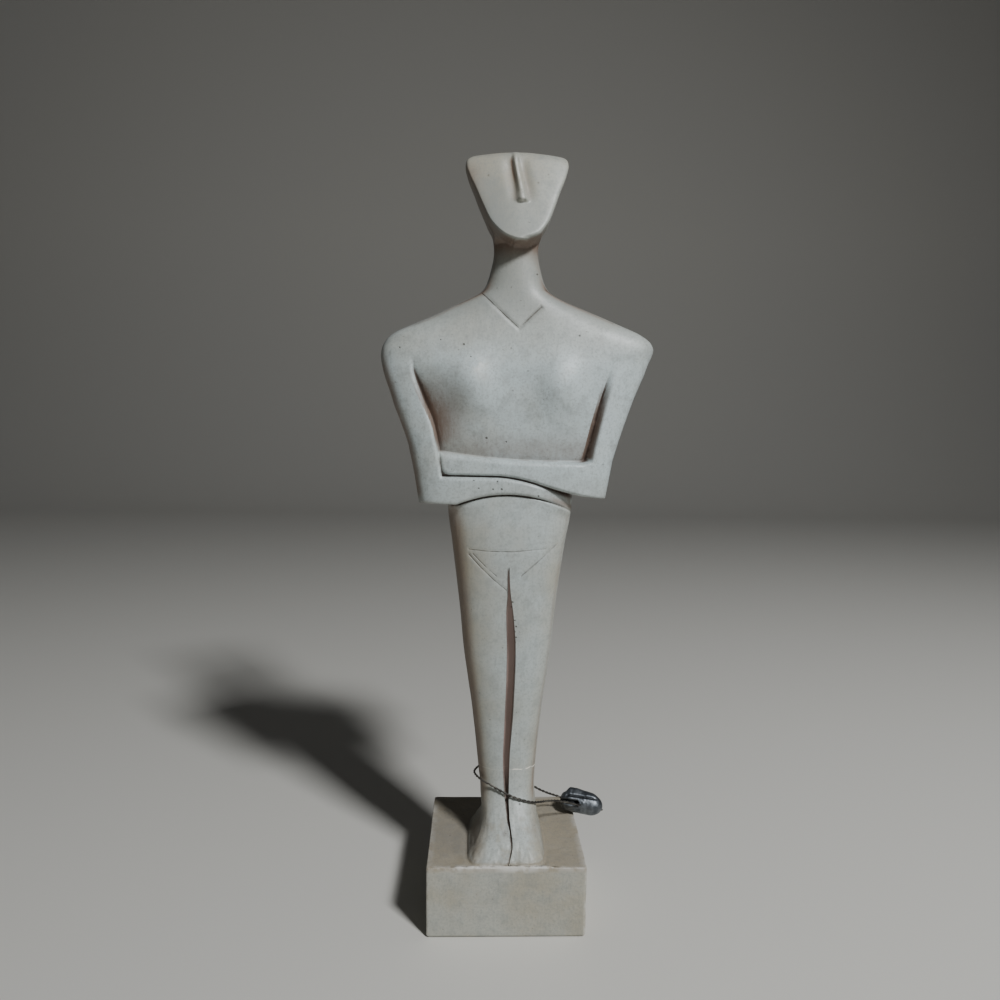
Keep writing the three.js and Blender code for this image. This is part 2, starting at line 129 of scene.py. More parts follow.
def polyline_distance(x, z, points):
    """Distance from (x, z) to a chain of points, the least over its straight stretches."""
    nearest = np.full(np.broadcast(x, z).shape, 1e9)
    for (ax, az), (bx, bz) in zip(points, points[1:]):
        dx, dz = bx - ax, bz - az
        u = clamp01(((x - ax) * dx + (z - az) * dz) / (dx * dx + dz * dz))
        nearest = np.minimum(nearest, np.hypot(x - ax - u * dx, z - az - u * dz))
    return nearest


# Large primes that scramble the three numbers of a lattice's corner and the seed
SCRAMBLE = (73856093, 19349663, 83492791, 2654435761, 1274126177)


def value_noise(points, scale, seed):
    """Smooth noise from -1 to 1: random values on a lattice of the given size, eased between its corners."""
    where = points / scale
    cell = np.floor(where).astype(np.int64)
    part = where - cell
    part = part * part * (3 - 2 * part)
    total = np.zeros(points.shape[:-1])
    for corner in np.ndindex(2, 2, 2):
        at = cell + np.array(corner)
        mixed = at[..., 0] * SCRAMBLE[0] ^ at[..., 1] * SCRAMBLE[1] ^ at[..., 2] * SCRAMBLE[2]
        mixed = mixed ^ seed * SCRAMBLE[3]
        mixed = (mixed ^ (mixed >> 13)) * SCRAMBLE[4] & 0x7FFFFFFF
        value = (mixed ^ (mixed >> 16)) / 0x3FFFFFFF - 1
        weight = np.prod(np.where(corner, part, 1 - part), axis=-1)
        total += weight * value
    return total


# The figure's proportions, in hundredths of its height from the block's top to the crown

PLINTH_HEIGHT = 28.0 * MM
FIGURE_HEIGHT = CAD_HIGH.z - PLINTH_HEIGHT
SHARE = FIGURE_HEIGHT / 100
PLINTH_WIDTH = 61.2 * MM
PLINTH_DEPTH = CAD_HIGH.y - CAD_LOW.y
TOE_SETBACK = 0.8 * MM
FIGURE_SHIFT = 1.0 * MM

# The arms, by level and by the share of the body's half width
LOWER_ARM_EDGE = 50.8
FOREARM_SEAM = 53.3
UPPER_ARM_EDGE = 56.5
ARMPIT = 71.5
LEFT_ARM_AT = -0.7
RIGHT_ARM_AT = 0.69
LEFT_ARM_SLANT = 0.055
UPPER_ARM_RAISED = 0.12
HAND_ROUND = 1.3

# The chest's mounds and the hollow beside them
MOUND_LEVEL = 66.7
LEFT_MOUND = -6.2
RIGHT_MOUND = 6.3
MOUND_HALF = 3.0
MOUND_HALF_HEIGHT = 3.4
MOUND_RAISED = 1.25
LEFT_HOLLOW_REACH = 0.6
RIGHT_SLIT_REACH = 1.0

# The head, whose chin is the curve |x / half|^power, and the nose
CHIN_LEVEL = 86.2
CHIN_MIDDLE = 0.65
CHIN_HALF = 2.85
CHIN_POWER = 2.2
CHIN_REACH = 5.8
FACE_LEAN = 0.39
FACE_RIM = 0.45
FACE_SQUARENESS = 14
NECK_JOIN = CHIN_LEVEL - 4
NOSE_TOP_X = -0.28
NOSE_TIP_X = 0.68
NOSE_POWER = 2.8
CROWN_START = 98.4

# Shallow lines on the body
UNDER_ARM_LINE = 0.4
SPINE_DEPTH = 0.22
BACK_CLEFT_DEPTH = 0.55

# The grid: half a step's height, the columns that the cleft and the nose move, those of the block's front and
# its corners, and a reach that is behind all others
STEP_HALF = 0.04
COLUMN_MIDDLE = 0.1
FACE_COLUMN = 0.86
SIDE_COLUMN = 0.9
AWAY = -9

# The curves are stations of [level, value]. First the outline: half of its width, and where its middle is
leg_half = profile([
    [0, 5.65], [1.5, 5.0], [4, 4.14], [7.2, 4.1], [9.7, 4.28], [12.7, 4.56], [16.7, 4.95], [21, 5.42],
    [24.3, 5.9], [28.5, 6.48], [35.3, 7.15], [40.7, 7.8], [45.4, 8.42], [49.3, 8.92], [54, 9.15],
])
body_half = profile([
    [50, 13.0], [52, 13.5], [55, 14.3], [58.7, 15.35], [62, 16.35], [65.8, 17.6], [69.3, 18.85], [72, 19.4],
    [73.2, 18.95], [74.4, 17.45], [75.6, 14.85], [77.8, 9.9], [80.3, 4.9], [81.3, 4.2], [83.2, 3.6],
    [84.9, 3.25], [86.1, 3.18], [87.6, 3.45], [89.25, 4.3], [91.5, 5.2], [94.1, 6.15], [96.6, 7.02],
    [98.2, 7.32], [99.1, 7.2], [99.6, 6.85], [100, 6.1],
])
sway = profile([
    [0, -0.4], [1.5, -0.05], [4, 0.18], [7.2, -0.05], [12, -0.2], [35, -0.45], [50, -0.38], [60, -0.28],
    [67, -0.1], [70, 0.05], [73, 0.6], [76, 0.6], [79, 0.1], [86, 0.02], [88, 0.12], [90, 0.2], [93, 0.1],
    [100, 0],
])

# How far the body reaches to the front and to the back of the figure's middle plane
TOE_REACH = (PLINTH_DEPTH / 2 - TOE_SETBACK) / SHARE
leg_front = profile([
    [0, TOE_REACH], [0.4, TOE_REACH - 0.05], [0.9, TOE_REACH - 0.5], [2, 8.9], [3.6, 7.2], [5.4, 5.6],
    [7.4, 4.3], [9.7, 3.6], [13, 3.35], [18, 3.4], [24, 3.8], [30, 4.1], [36, 4.4], [42, 4.75], [46, 4.85],
    [49.5, 4.65], [52, 4.6],
])
torso_front = profile([
    [56, 3.2], [57.5, 3.55], [59.5, 3.95], [62, 4.3], [65, 4.6], [69, 4.6], [73, 4.05], [76, 3.45], [79, 3.0],
    [82, 2.8], [86, 2.6], [88, 2.35], [91, 1.2], [95, 0.2], [100, -0.6],
])
arm_front = profile([[50, 5.2], [55, 5.25], [60, 5.1], [66, 4.8], [72, 4.2]])
back_reach = profile([
    [0, 4.2], [3, 3.9], [7, 3.6], [9.7, 3.5], [14, 3.9], [20, 4.6], [26, 4.6], [31, 4.0], [36, 4.4],
    [42, 5.1], [46, 5.0], [51, 4.2], [56, 3.9], [62, 3.6], [68, 3.8], [73, 3.9],
    [76, 3.6], [80, 3.0], [84, 2.7], [87, 2.9], [91, 3.8], [95, 4.3], [98, 4.2], [100, 3.4],
])

# How far back the outline lies, and the power of the rounded slab that is the body's section
outline_depth = profile([[0, -3.2], [3, -2], [6, -0.6], [9.7, 0], [84, 0], [88, 0.2], [94, 1.0], [100, 1.7]])
squareness = profile([
    [0, 6], [1.2, 5], [4, 3.2], [9.7, 2.5], [20, 2.7], [35, 3], [49, 3], [51, 4], [72, 4], [77, 2.6],
    [82, 2.1], [87, 2.2], [91, 3.6], [100, 4],
])

# The cleft between the legs, and above them the nose: its place, its half width and its depth or height
cleft_drift = profile([
    [0.3, 0.02], [2, 0.07], [3.2, 0.02], [5, -0.06], [12, -0.04], [20, 0.05], [28, 0.08], [36, 0.02],
    [41, -0.01], [60, 0], [91, 0.12], [98, -0.03],
])
cleft_half = profile([
    [1, 0.02], [5, 0.04], [8, 0.07], [12, 0.1], [20, 0.115], [25, 0.105], [30, 0.09], [34.5, 0.065],
    [37.5, 0.024], [41, 0.014], [60, 0.05], [91, 0.16], [98, 0.1],
])
cleft_depth = profile([
    [0, 0.3], [1, 0.5], [5, 0.8], [12, 1.3], [20, 1.6], [30, 1.45], [36, 0.8], [40.5, 0.3], [41.3, 0],
])
nose_height = profile([[91, 0.85], [92.3, 0.85], [93.6, 0.6], [96, 0.6], [98, 0.5], [100, 0.25]])


def lower_arm_line(x):
    """The level of the lower forearm's under edge: an arch that ends lower at the viewer's right."""
    arch = 51.6 - 0.029 * (x + 0.7) ** 2
    return np.where(x < 0, np.maximum(50.05, arch), np.maximum(48.9, arch))


def seam_line(x):
    """The level of the seam between the forearms, level by the hand and falling towards the elbow."""
    return 54.1 - 3.1 * smoothstep(-2.5, 13, x)


def upper_arm_line(x):
    """The level of the upper forearm's top edge, which rises as a parabola towards the hand."""
    return 56.35 + 0.0045 * np.minimum(0, x - 6) ** 2


def crown_arch(x):
    """How far the crown's top edge falls away from its middle, as a parabola."""
    return -0.5 * ((x - 0.5) / 6.2) ** 2


def height_at(level, x):
    """A level follows the forearms' lines near the arms and the crown's arch at the top, or it is flat."""
    zero = np.zeros(np.broadcast(level, x).shape)
    keys = [45, LOWER_ARM_EDGE, FOREARM_SEAM, UPPER_ARM_EDGE, 64, 94, 100]
    lifts = [
        zero, lower_arm_line(x) - LOWER_ARM_EDGE, seam_line(x) - FOREARM_SEAM,
        upper_arm_line(x) - UPPER_ARM_EDGE, zero, zero, crown_arch(x),
    ]
    lift = zero.copy()
    for low, high, start, end in zip(keys, keys[1:], lifts, lifts[1:]):
        inside = (level >= low) & (level <= high)
        lift = np.where(inside, mix(start, end, clamp01((level - low) / (high - low))), lift)
    return level + lift


def half_width(level, t):
    """The elbow's ledge lies lower on the figure's right arm than on its left, whose forearm is on top."""
    ledge = np.where(t < 0, LOWER_ARM_EDGE, FOREARM_SEAM)
    return np.where(level < ledge, leg_half(level), body_half(level))


def arm_drift(level):
    """The arm at the viewer's left slants outwards above the elbow."""
    return LEFT_ARM_SLANT * smoothstep(60, 69, level)


def left_edge(level):
    """Where the inner edge of the arm at the viewer's left is."""
    return LEFT_ARM_AT - arm_drift(level)


def across_at(level, t):
    """Columns by the middle follow the cleft and the nose, and those by the left arm's edge its slant."""
    drift, half, size = cleft_drift(level), cleft_half(level), np.abs(t)
    near_middle = 1 - smoothstep(COLUMN_MIDDLE, 0.45, size)
    far = size + (half - COLUMN_MIDDLE) * near_middle
    place = np.where(size <= COLUMN_MIDDLE, size / COLUMN_MIDDLE * half, far)
    slant = arm_drift(level) * bump(t - LEFT_ARM_AT, 0.12)
    return np.sign(t) * place + drift * near_middle - slant


def shoulder_blend(level):
    """Above the armpits the arms run into the shoulders, and their edges fade."""
    return smoothstep(67.5, 72.5, level)


def lower_arm(x, z, t, half, level):
    """The forearm underneath and its upper arm, on the figure's right: a raised L with rounded edges."""
    above = z - lower_arm_line(x)
    inside = smooth_max((left_edge(level) - t) * half, seam_line(x) - z, 0.35)
    reach = arm_front(level) - 0.9 * smoothstep(0.2, 1, t)
    edge = rounded_edge(above, 0.6, 0.1) * rounded_edge(inside, 0.7, 0.13)
    reach = mix(reach * edge, torso_front(level) - 0.15, shoulder_blend(level))
    away = (level < LOWER_ARM_EDGE) | ((level > FOREARM_SEAM) & (t > left_edge(level)))
    return np.where(away, AWAY, reach)


def upper_arm(x, z, t, half, level):
    """The forearm on top and its upper arm, on the figure's left, and the hand's end by the other arm."""
    above = z - seam_line(x)
    corner = smooth_max((t - RIGHT_ARM_AT) * half, upper_arm_line(x) - z, 0.45)
    from_hand = -smooth_max(-(t - left_edge(level)) * half, -above, HAND_ROUND)
    reach = arm_front(level) + UPPER_ARM_RAISED - 0.45 * smoothstep(0.1, LEFT_ARM_AT, t)
    beside_chest = smoothstep(55.9, 56.7, z) * smoothstep(7, 9, x) * smoothstep(69.5, 64, z)
    sloped = 1 - 0.5 * (1 - clamp01(corner / 1.25)) ** 1.25
    inner_side = mix(rounded_edge(corner, 0.9, 0.16), sloped, beside_chest)
    edge = inner_side * rounded_edge(above, 0.5, 0.1) * rounded_edge(from_hand, 0.6, 0.12)
    reach = mix(reach * edge, torso_front(level) - 0.15, shoulder_blend(level))
    away = (level < FOREARM_SEAM) | (t < left_edge(level)) | ((level > UPPER_ARM_EDGE) & (t < RIGHT_ARM_AT))
    return np.where(away, AWAY, reach)


def torso(x, t, level):
    """The chest with its two soft mounds.

    Towards the figure's right arm it falls away softly to a hollow. Towards the left one it stays full up to
    a narrow slit.
    """
    mounds = bump(x - LEFT_MOUND, MOUND_HALF) + bump(x - RIGHT_MOUND, MOUND_HALF)
    chest = torso_front(level) + MOUND_RAISED * mounds * bump(level - MOUND_LEVEL, MOUND_HALF_HEIGHT)
    floor = np.where(t < 0, LEFT_HOLLOW_REACH, RIGHT_SLIT_REACH)
    side = clamp01(np.where(t < 0, t / (left_edge(level) - 0.02), t / (RIGHT_ARM_AT + 0.02)))
    fall = np.where(t < 0, (1 - side ** 2) ** 0.55, (1 - side ** 12) ** (1 / 12))
    between = floor + (chest - floor) * fall
    return mix(between, chest, smoothstep(63.5, ARMPIT, level))


def head_front(x, level):
    """A shield that leans back, with a rounded rim and a broad round chin. Behind it is the neck."""
    off_middle = np.abs(x - CHIN_MIDDLE * smoothstep(96, 88, level)) / CHIN_HALF
    over_chin = level - CHIN_LEVEL - off_middle ** CHIN_POWER
    slope = CHIN_POWER / CHIN_HALF * off_middle ** (CHIN_POWER - 1)
    from_chin = over_chin / np.sqrt(1 + slope ** 2)
    from_side = body_half(level) - np.abs(x - sway(level)) + 0.35 * smoothstep(0, 3, x)
    inside = -smooth_max(-from_chin, -from_side, 0.35)
    plane = CHIN_REACH - FACE_LEAN * (level - CHIN_LEVEL) - 0.01 * (x - 2) ** 2
    rim = np.sqrt(np.maximum(0, 1 - (1 - clamp01(inside / FACE_RIM)) ** 2))
    behind = torso_front(level)
    return mix(behind, np.maximum(plane, behind), rim)


def nose_middle(level):
    """The nose leans, from the left of the crown's middle to the right of the face's."""
    return mix(NOSE_TOP_X, NOSE_TIP_X, smoothstep(99, 91.6, level))


def nose(x, level):
    """A long narrow ridge from the crown down, broadest and highest at its tip, in two soft hollows."""
    middle = nose_middle(level)
    half = mix(0.42, 0.6, smoothstep(97, 93.5, level)) + 0.2 * smoothstep(93.6, 92.1, level)
    height = nose_height(level) * smoothstep(91.7, 92.3, level)
    ridge = height * np.exp(-np.abs((x - middle) / half) ** NOSE_POWER)
    beside = smoothstep(91.5, 93.5, level) * smoothstep(99.5, 96.5, level)
    hollows = 0.35 * bump(x - middle + 0.95, 0.75) + 0.3 * bump(x - middle - 1.05, 0.75)
    return ridge - hollows * beside


def figure_skin(level, t, is_front):
    """The figure's skin as (x, y, z) arrays in hundredths of its height.

    Level runs up the body and t across it from -1 to 1. The outline gives x. The depth is the body's reach to
    the front or back times a rounded slab's section, (1 - |t|^n)^(1/n), so that front and back meet at t = 1.
    """
    place = np.where(np.abs(t) >= 1, t, across_at(level, t))
    half = half_width(level, t)
    x = sway(level) + place * half
    z = height_at(level, x)
    power = squareness(level)
    power = np.where(is_front, mix(power, FACE_SQUARENESS, smoothstep(86.6, 88.5, level)), power)
    section = np.maximum(0, 1 - np.abs(place) ** power) ** (1 / power)
    over = np.maximum(0, level - CROWN_START) / (100 - CROWN_START)
    crown = np.sqrt(np.maximum(0.004, 1 - over ** 2))
    middle = outline_depth(level)
    legs = leg_front(level) - cleft_depth(level) * smoothstep(COLUMN_MIDDLE, 0.08, np.abs(t))
    legs = legs - UNDER_ARM_LINE * bump(z - lower_arm_line(x), 0.14) * smoothstep(-9.5, -7, x)
    chest = np.where(level > UPPER_ARM_EDGE, torso(x, place, level), AWAY)
    arms = np.maximum(lower_arm(x, z, place, half, level), upper_arm(x, z, place, half, level))
    trunk = np.maximum(chest, arms)
    face = head_front(x, level) + nose(x, level) * (level > CHIN_LEVEL)
    reach = np.where(level < LOWER_ARM_EDGE, legs, np.where(level < NECK_JOIN, trunk, face))
    front = middle - (reach + middle) * section * crown
    spine = SPINE_DEPTH * bump(x, 0.7) * smoothstep(51, 56, level) * smoothstep(76, 71, level)
    cleft = BACK_CLEFT_DEPTH * bump(x, 0.55) * smoothstep(1, 5, level) * smoothstep(43, 39, level)
    back = middle + (back_reach(level) - middle - spine - cleft) * section * crown
    return x, np.where(is_front, front, back), z


# Rows and columns of the figure's grid

FRONT_COLUMNS = 190
BACK_COLUMNS = 62
FIGURE_ROWS = 352
TOP_ROWS = 10
BURR_SETBACK = 0.7 * MM

# Hand finishing: the widths of its swells and ripples, its smears on the feet, and how much it takes off
SWELL_WIDTH = 17 * MM
RIPPLE_WIDTH = 5 * MM
SMEAR_WIDTH = 1.7 * MM
FINE_SMEAR_WIDTH = 0.9 * MM
SMEAR_DEPTH = 0.2 * MM
TAKEN_OFF = 0.12 * MM


def block_outline(t, is_front, inset, corner):
    """Half a rounded rectangle for the front and half for the back, walked by the same t as the figure."""
    size = np.abs(t)
    w, d, c = PLINTH_WIDTH / 2 - inset, PLINTH_DEPTH / 2 - inset, corner
    turn = clamp01((size - FACE_COLUMN) / (SIDE_COLUMN - FACE_COLUMN)) * math.pi / 2
    along = clamp01((size - SIDE_COLUMN) / (1 - SIDE_COLUMN))
    x = np.where(size <= FACE_COLUMN, size / FACE_COLUMN * (w - c), w - c + c * np.sin(turn))
    y = np.where(size <= SIDE_COLUMN, d - c + c * np.cos(turn), (d - c) * (1 - along))
    return np.sign(t) * x, np.where(is_front, -y, y)


def column_density(t):
    """How close the columns stand: closer at the arms' edges, the middle, the outline and the corners."""
    size = np.abs(t)
    arms = 2.2 * (bump(t - LEFT_ARM_AT, 0.03) + bump(t - RIGHT_ARM_AT, 0.03))
    middle = 2.6 * bump(size - 0.085, 0.035) + 0.8 * bump(t, 0.09)
    rim = 1.6 * bump(size - 1, 0.035) + 3 * bump(size - 1, 0.006)
    corner = 1.0 * bump(size - 0.88, 0.02)
    return 1 + arms + middle + rim + corner


def row_density(level):
    """How close the rows stand: closer at each edge or groove that runs across the figure."""
    ledges = bump(level - LOWER_ARM_EDGE, 0.7) + bump(level - FOREARM_SEAM, 0.7)
    ledges = ledges + bump(level - UPPER_ARM_EDGE, 0.8)
    forearms = 2.2 * smoothstep(49, 50.2, level) * smoothstep(58.6, 57.2, level)
    neckline = 1.3 * smoothstep(73.5, 74.5, level) * smoothstep(80.5, 79.5, level)
    chin = 4.2 * bump(level - 87.2, 0.8) + 0.6 * bump(level - 89, 2)
    nose_base = 3 * bump(level - 91.9, 0.35)
    crown = 2.5 * bump(level - 100, 1.2)
    toes = 2.2 * bump(level, 1.6)
    belly = 0.9 * smoothstep(37, 38, level) * smoothstep(45, 44, level)
    return 0.72 + 2.2 * ledges + forearms + neckline + chin + nose_base + crown + toes + belly


def figure_levels():
    """The rows' levels. A forearm's edge is a step, so it has one row just below it and one just above."""
    levels = spread(0, 100, FIGURE_ROWS, row_density)
    for ledge in (LOWER_ARM_EDGE, FOREARM_SEAM, UPPER_ARM_EDGE):
        levels = levels[np.abs(levels - ledge) > 1.6 * STEP_HALF]
        levels = np.append(levels, [ledge - STEP_HALF, ledge + STEP_HALF])
    return np.sort(levels)


def ring_columns():
    """Once round the body: across the front from -1 to 1, then back across the back."""
    front = spread(-1, 1, FRONT_COLUMNS, column_density)
    back = spread(1, -1, BACK_COLUMNS, column_density)[1:-1]
    t = np.concatenate([front, back])
    return t, np.arange(len(t)) < len(front)


# Each carved line's points, as (x, level), then its depth and half its width in millimetres and hundredths
CARVED_LINES = [
    ([(-4.7, 79.7), (-2.9, 77.9), (-1.2, 76.3), (0.47, 74.75)], 0.45, 0.17),
    ([(0.47, 74.75), (1.4, 75.7), (2.5, 76.8), (3.6, 77.8)], 0.5, 0.17),
    ([(-6.2, 43.75), (-3, 43.5), (0.2, 43.5), (4.7, 43.9)], 0.2, 0.16),
    ([(-6.2, 43.0), (-4.4, 41.1), (-2.6, 39.4), (-0.8, 37.9)], 0.25, 0.17),
    ([(-5.6, 43.1), (-3.9, 41.4), (-2.3, 40.0)], 0.14, 0.13),
    ([(6.5, 44.6), (4.6, 42.9), (2.9, 41.4), (1.3, 40.0)], 0.25, 0.17),
]


def carved_depth(x, z):
    """How deep the carved lines go at (x, z), each a narrow round-bottomed groove along its points."""
    depth = np.zeros(np.broadcast(x, z).shape)
    for points, deep, width in CARVED_LINES:
        depth = np.maximum(depth, deep * MM / SHARE * bump(polyline_distance(x, z, points), width))
    return depth


def grid_normals(points):
    """Unit normals of a grid that closes round its columns, from the cross product of its two differences."""
    around = np.roll(points, -1, axis=1) - np.roll(points, 1, axis=1)
    up = np.gradient(points, axis=0)
    normal = np.cross(around, up)
    return normal / np.maximum(np.linalg.norm(normal, axis=2, keepdims=True), 1e-12)


def burr_wave(points):
    """How the burr in front of the toes rises and falls along the block's edge, from -1 to 1."""
    return value_noise(points * [1, 0, 0], 3.2 * MM, 21)


def figurine_points(sizes):
    """The whole casting as one grid of rings, from the rounded foot of the block to the crown.

    The block's rings are rounded rectangles, those of its top run from its outline to the feet's, and above
    them is the figure's skin. A burr is pressed up in front of the toes. Last, the whole is pushed in and out
    along its normals by smooth noise, in soft swells as hand finishing leaves them and in smears on the feet.
    """
    t, is_front = ring_columns()
    foot, top_edge = sizes.block_foot_round, sizes.block_top_round
    rings = []

    def block_ring(inset, z):
        """One rounded rectangle round the block."""
        x, y = block_outline(t, is_front, inset, sizes.block_corner_round)
        rings.append(np.stack([x, y, np.full(len(t), z)], axis=1))

    for turn in np.linspace(0, math.pi / 2, 6):
        block_ring(foot * (1 - math.sin(turn)), foot * (1 - math.cos(turn)))
    for z in np.linspace(foot, PLINTH_HEIGHT - top_edge, 15)[1:]:
        block_ring(0, z)
    for turn in np.linspace(0, math.pi / 2, 5)[1:]:
        block_ring(top_edge * (1 - math.cos(turn)), PLINTH_HEIGHT - top_edge * (1 - math.sin(turn)))
    rings = np.array(rings)

    level = figure_levels()[:, None]
    x, y, z = figure_skin(level, t[None, :], is_front[None, :])
    y = y + np.where(is_front, carved_depth(x, z), 0) * (np.abs(t) < 0.98)
    figure = np.stack([FIGURE_SHIFT + x * SHARE, y * SHARE, PLINTH_HEIGHT + z * SHARE], axis=2)

    share = (np.linspace(0, 1, TOP_ROWS + 2)[1:-1] ** 0.8)[:, None, None]
    top = mix(rings[-1][None], figure[0][None], share)
    top[..., 2] += 0.25 * MM * share[..., 0] ** 3
    points = np.concatenate([rings, top, figure])
    from_burr = points[..., 1] + PLINTH_DEPTH / 2 - BURR_SETBACK
    burr = bump(from_burr, 0.5 * MM) * bump(points[..., 2] - PLINTH_HEIGHT, 0.7 * MM)
    burr = burr * (0.6 + 0.5 * burr_wave(points)) * smoothstep(23 * MM, 15 * MM, np.abs(points[..., 0]))
    points[..., 2] += sizes.toe_burr * burr

    normals = grid_normals(points)
    swell = value_noise(points, SWELL_WIDTH, 3) + 0.36 * value_noise(points, RIPPLE_WIDTH, 7)
    swell = sizes.hand_finish * swell
    on_foot = smoothstep(9, 3, (points[..., 2] - PLINTH_HEIGHT) / SHARE) * (points[..., 2] > PLINTH_HEIGHT)
    smears = value_noise(points * [1, 1, 0.45], SMEAR_WIDTH, 31)
    smears = smears + 0.6 * value_noise(points, FINE_SMEAR_WIDTH, 32)
    swell = (swell + SMEAR_DEPTH * smears * on_foot - TAKEN_OFF) * smoothstep(0, 2 * MM, points[..., 2])
    return points + normals * swell[..., None], t, is_front


def closed_surface(points):
    """A grid of rings that closes round its columns: its points, its quads and a fan over each end."""
    rows, columns = points.shape[:2]
    verts = np.concatenate([points.reshape(-1, 3), [points[0].mean(0), points[-1].mean(0)]])
    r, c = np.meshgrid(np.arange(rows - 1), np.arange(columns), indexing="ij")
    onward = (c + 1) % columns
    low, high = r * columns, (r + 1) * columns
    quads = np.stack([low + c, low + onward, high + onward, high + c], -1)
    c, onward, last = c[0], onward[0], (rows - 1) * columns
    low_fan = np.stack([np.full(columns, len(verts) - 2), onward, c], -1)
    high_fan = np.stack([np.full(columns, len(verts) - 1), last + c, last + onward], -1)
    return verts, quads.reshape(-1, 4), np.concatenate([low_fan, high_fan])


def smooth_mesh(name, surfaces):
    """One mesh, shaded smooth, of closed surfaces whose points are numbered on from one to the next."""
    verts, faces, start = [], [], 0
    for points, quads, fans in surfaces:
        verts.append(points)
        faces += (quads + start).tolist() + (fans + start).tolist()
        start += len(points)
    mesh = bpy.data.meshes.new(name)
    mesh.from_pydata(np.concatenate(verts).tolist(), [], faces)
    mesh.polygons.foreach_set("use_smooth", np.ones(len(mesh.polygons), bool))
    mesh.update()
    return mesh


def add_attribute(mesh, name, values):
    """A number for each point of the grid. The two middle points of the end fans take their ring's mean."""
    ends = [values[0].mean(), values[-1].mean()]
    everywhere = np.concatenate([values.ravel(), ends]).astype(np.float32)
    mesh.attributes.new(name, "FLOAT", "POINT").data.foreach_set("value", everywhere)


# The side of a square of the raster on which depths are compared
RASTER_CELL = 0.5 * MM


def hollow_depth(points, width):
    """How far each point lies behind its surroundings, for a sheet of points seen from straight in front.

    The depths are averaged onto a raster, blurred with a Gaussian of the given width, and subtracted.
    """
    cell = RASTER_CELL
    low = points[..., [0, 2]].reshape(-1, 2).min(0)
    place = ((points[..., [0, 2]] - low) / cell).astype(int)
    size = place.reshape(-1, 2).max(0) + 1
    index = (place[..., 0] * size[1] + place[..., 1]).ravel()
    count = np.bincount(index, minlength=size.prod()).reshape(size).astype(float)
    total = np.bincount(index, points[..., 1].ravel(), minlength=size.prod()).reshape(size)
    filled = (count > 0).astype(float)
    mean = total / np.maximum(count, 1)
    pad = int(4 * width / cell)
    fx = np.fft.fftfreq(size[0] + 2 * pad)[:, None]
    fz = np.fft.rfftfreq(size[1] + 2 * pad)[None, :]
    kernel = np.exp(-2 * (math.pi * width / cell) ** 2 * (fx ** 2 + fz ** 2))

    def blur(raster):
        """A Gaussian blur, by a product of the Fourier transforms."""
        padded = np.pad(raster, pad)
        soft = np.fft.irfft2(np.fft.rfft2(padded) * kernel, s=padded.shape)
        return soft[pad:-pad, pad:-pad]

    around = blur(mean * filled) / np.maximum(blur(filled), 0.02)
    return points[..., 1] - around[place[..., 0], place[..., 1]]


# Colours and shader nodes

ADD = {"operation": "ADD"}
ADD_CLAMPED = {"operation": "ADD", "use_clamp": True}
SUBTRACT = {"operation": "SUBTRACT"}
MULTIPLY = {"operation": "MULTIPLY"}
MULTIPLY_CLAMPED = {"operation": "MULTIPLY", "use_clamp": True}
DIVIDE = {"operation": "DIVIDE"}
MINIMUM = {"operation": "MINIMUM"}
MAXIMUM = {"operation": "MAXIMUM"}
DISTANCE = {"operation": "DISTANCE"}
SMOOTH = {"interpolation_type": "SMOOTHSTEP"}
COLOURS = {"data_type": "RGBA"}


def linear(colour):
    """An sRGB hex colour as the four linear numbers that a shader takes."""
    parts = [int(colour[i:i + 2], 16) / 255 for i in (1, 3, 5)]
    return [p / 12.92 if p <= 0.04045 else ((p + 0.055) / 1.055) ** 2.4 for p in parts] + [1.0]


def add_node(tree, kind, settings, *inputs, output=None, **named_inputs):
    """Adds one shader node and gives one of its outputs, the first that it shows unless one is named.

    Inputs without a name are taken in the order that the node shows them. Each input is a plain value, or
    another node's output, which is linked.
    """
    node = tree.nodes.new("ShaderNode" + kind)
    for name, value in settings.items():
        setattr(node, name, value)
    shown = [socket for socket in node.inputs if socket.enabled]
    named = [(node.inputs[name], value) for name, value in named_inputs.items()]
    for socket, value in [*zip(shown, inputs), *named]:
        if isinstance(value, bpy.types.NodeSocket):
            tree.links.new(value, socket)
        else:
            socket.default_value = value
    if output:
        return node.outputs[output]
    return next(socket for socket in node.outputs if socket.enabled)


def new_material(name):
    """A material, its node tree and the shader of its surface."""
    material = bpy.data.materials.new(name)
    material.use_nodes = True
    tree = material.node_tree
    tree.nodes.clear()
    shader = tree.nodes.new("ShaderNodeBsdfPrincipled")
    surface = tree.nodes.new("ShaderNodeOutputMaterial")
    tree.links.new(shader.outputs[0], surface.inputs[0])
    return material, tree, shader


# Pits that air bubbles left in the casting, as (x, level, radius in mm) on the front
BUBBLE_PITS = [
    (-4.9, 52.5, 0.3), (-2.9, 52.4, 0.33), (-1.7, 52.4, 0.4), (-2.3, 53.5, 0.3), (-5.6, 53.6, 0.28),
    (3.5, 51.5, 0.35), (3.0, 82.5, 0.33), (-16.1, 71.9, 0.3), (-7.2, 72.4, 0.42), (8.9, 73.9, 0.35),
    (-3.9, 59.5, 0.45), (-1.1, 59.0, 0.3), (1.6, 6.3, 0.33), (-6.2, 70.7, 0.25), (-10.4, 73.0, 0.25),
]

# Chips along the cleft's edge, where the tool slipped, in the same way
CLEFT_CHIPS = [
    (0.12, 36.2, 0.34), (0.0, 35.3, 0.28), (0.5, 33.5, 0.3), (0.68, 32.6, 0.36), (0.55, 31.8, 0.26),
    (0.72, 31.0, 0.32), (0.66, 30.2, 0.24),
]

# A distance past all others, and the level of the glue's line on the ankles
FAR_AWAY = 1e3
GLUE_LEVEL = 10.6


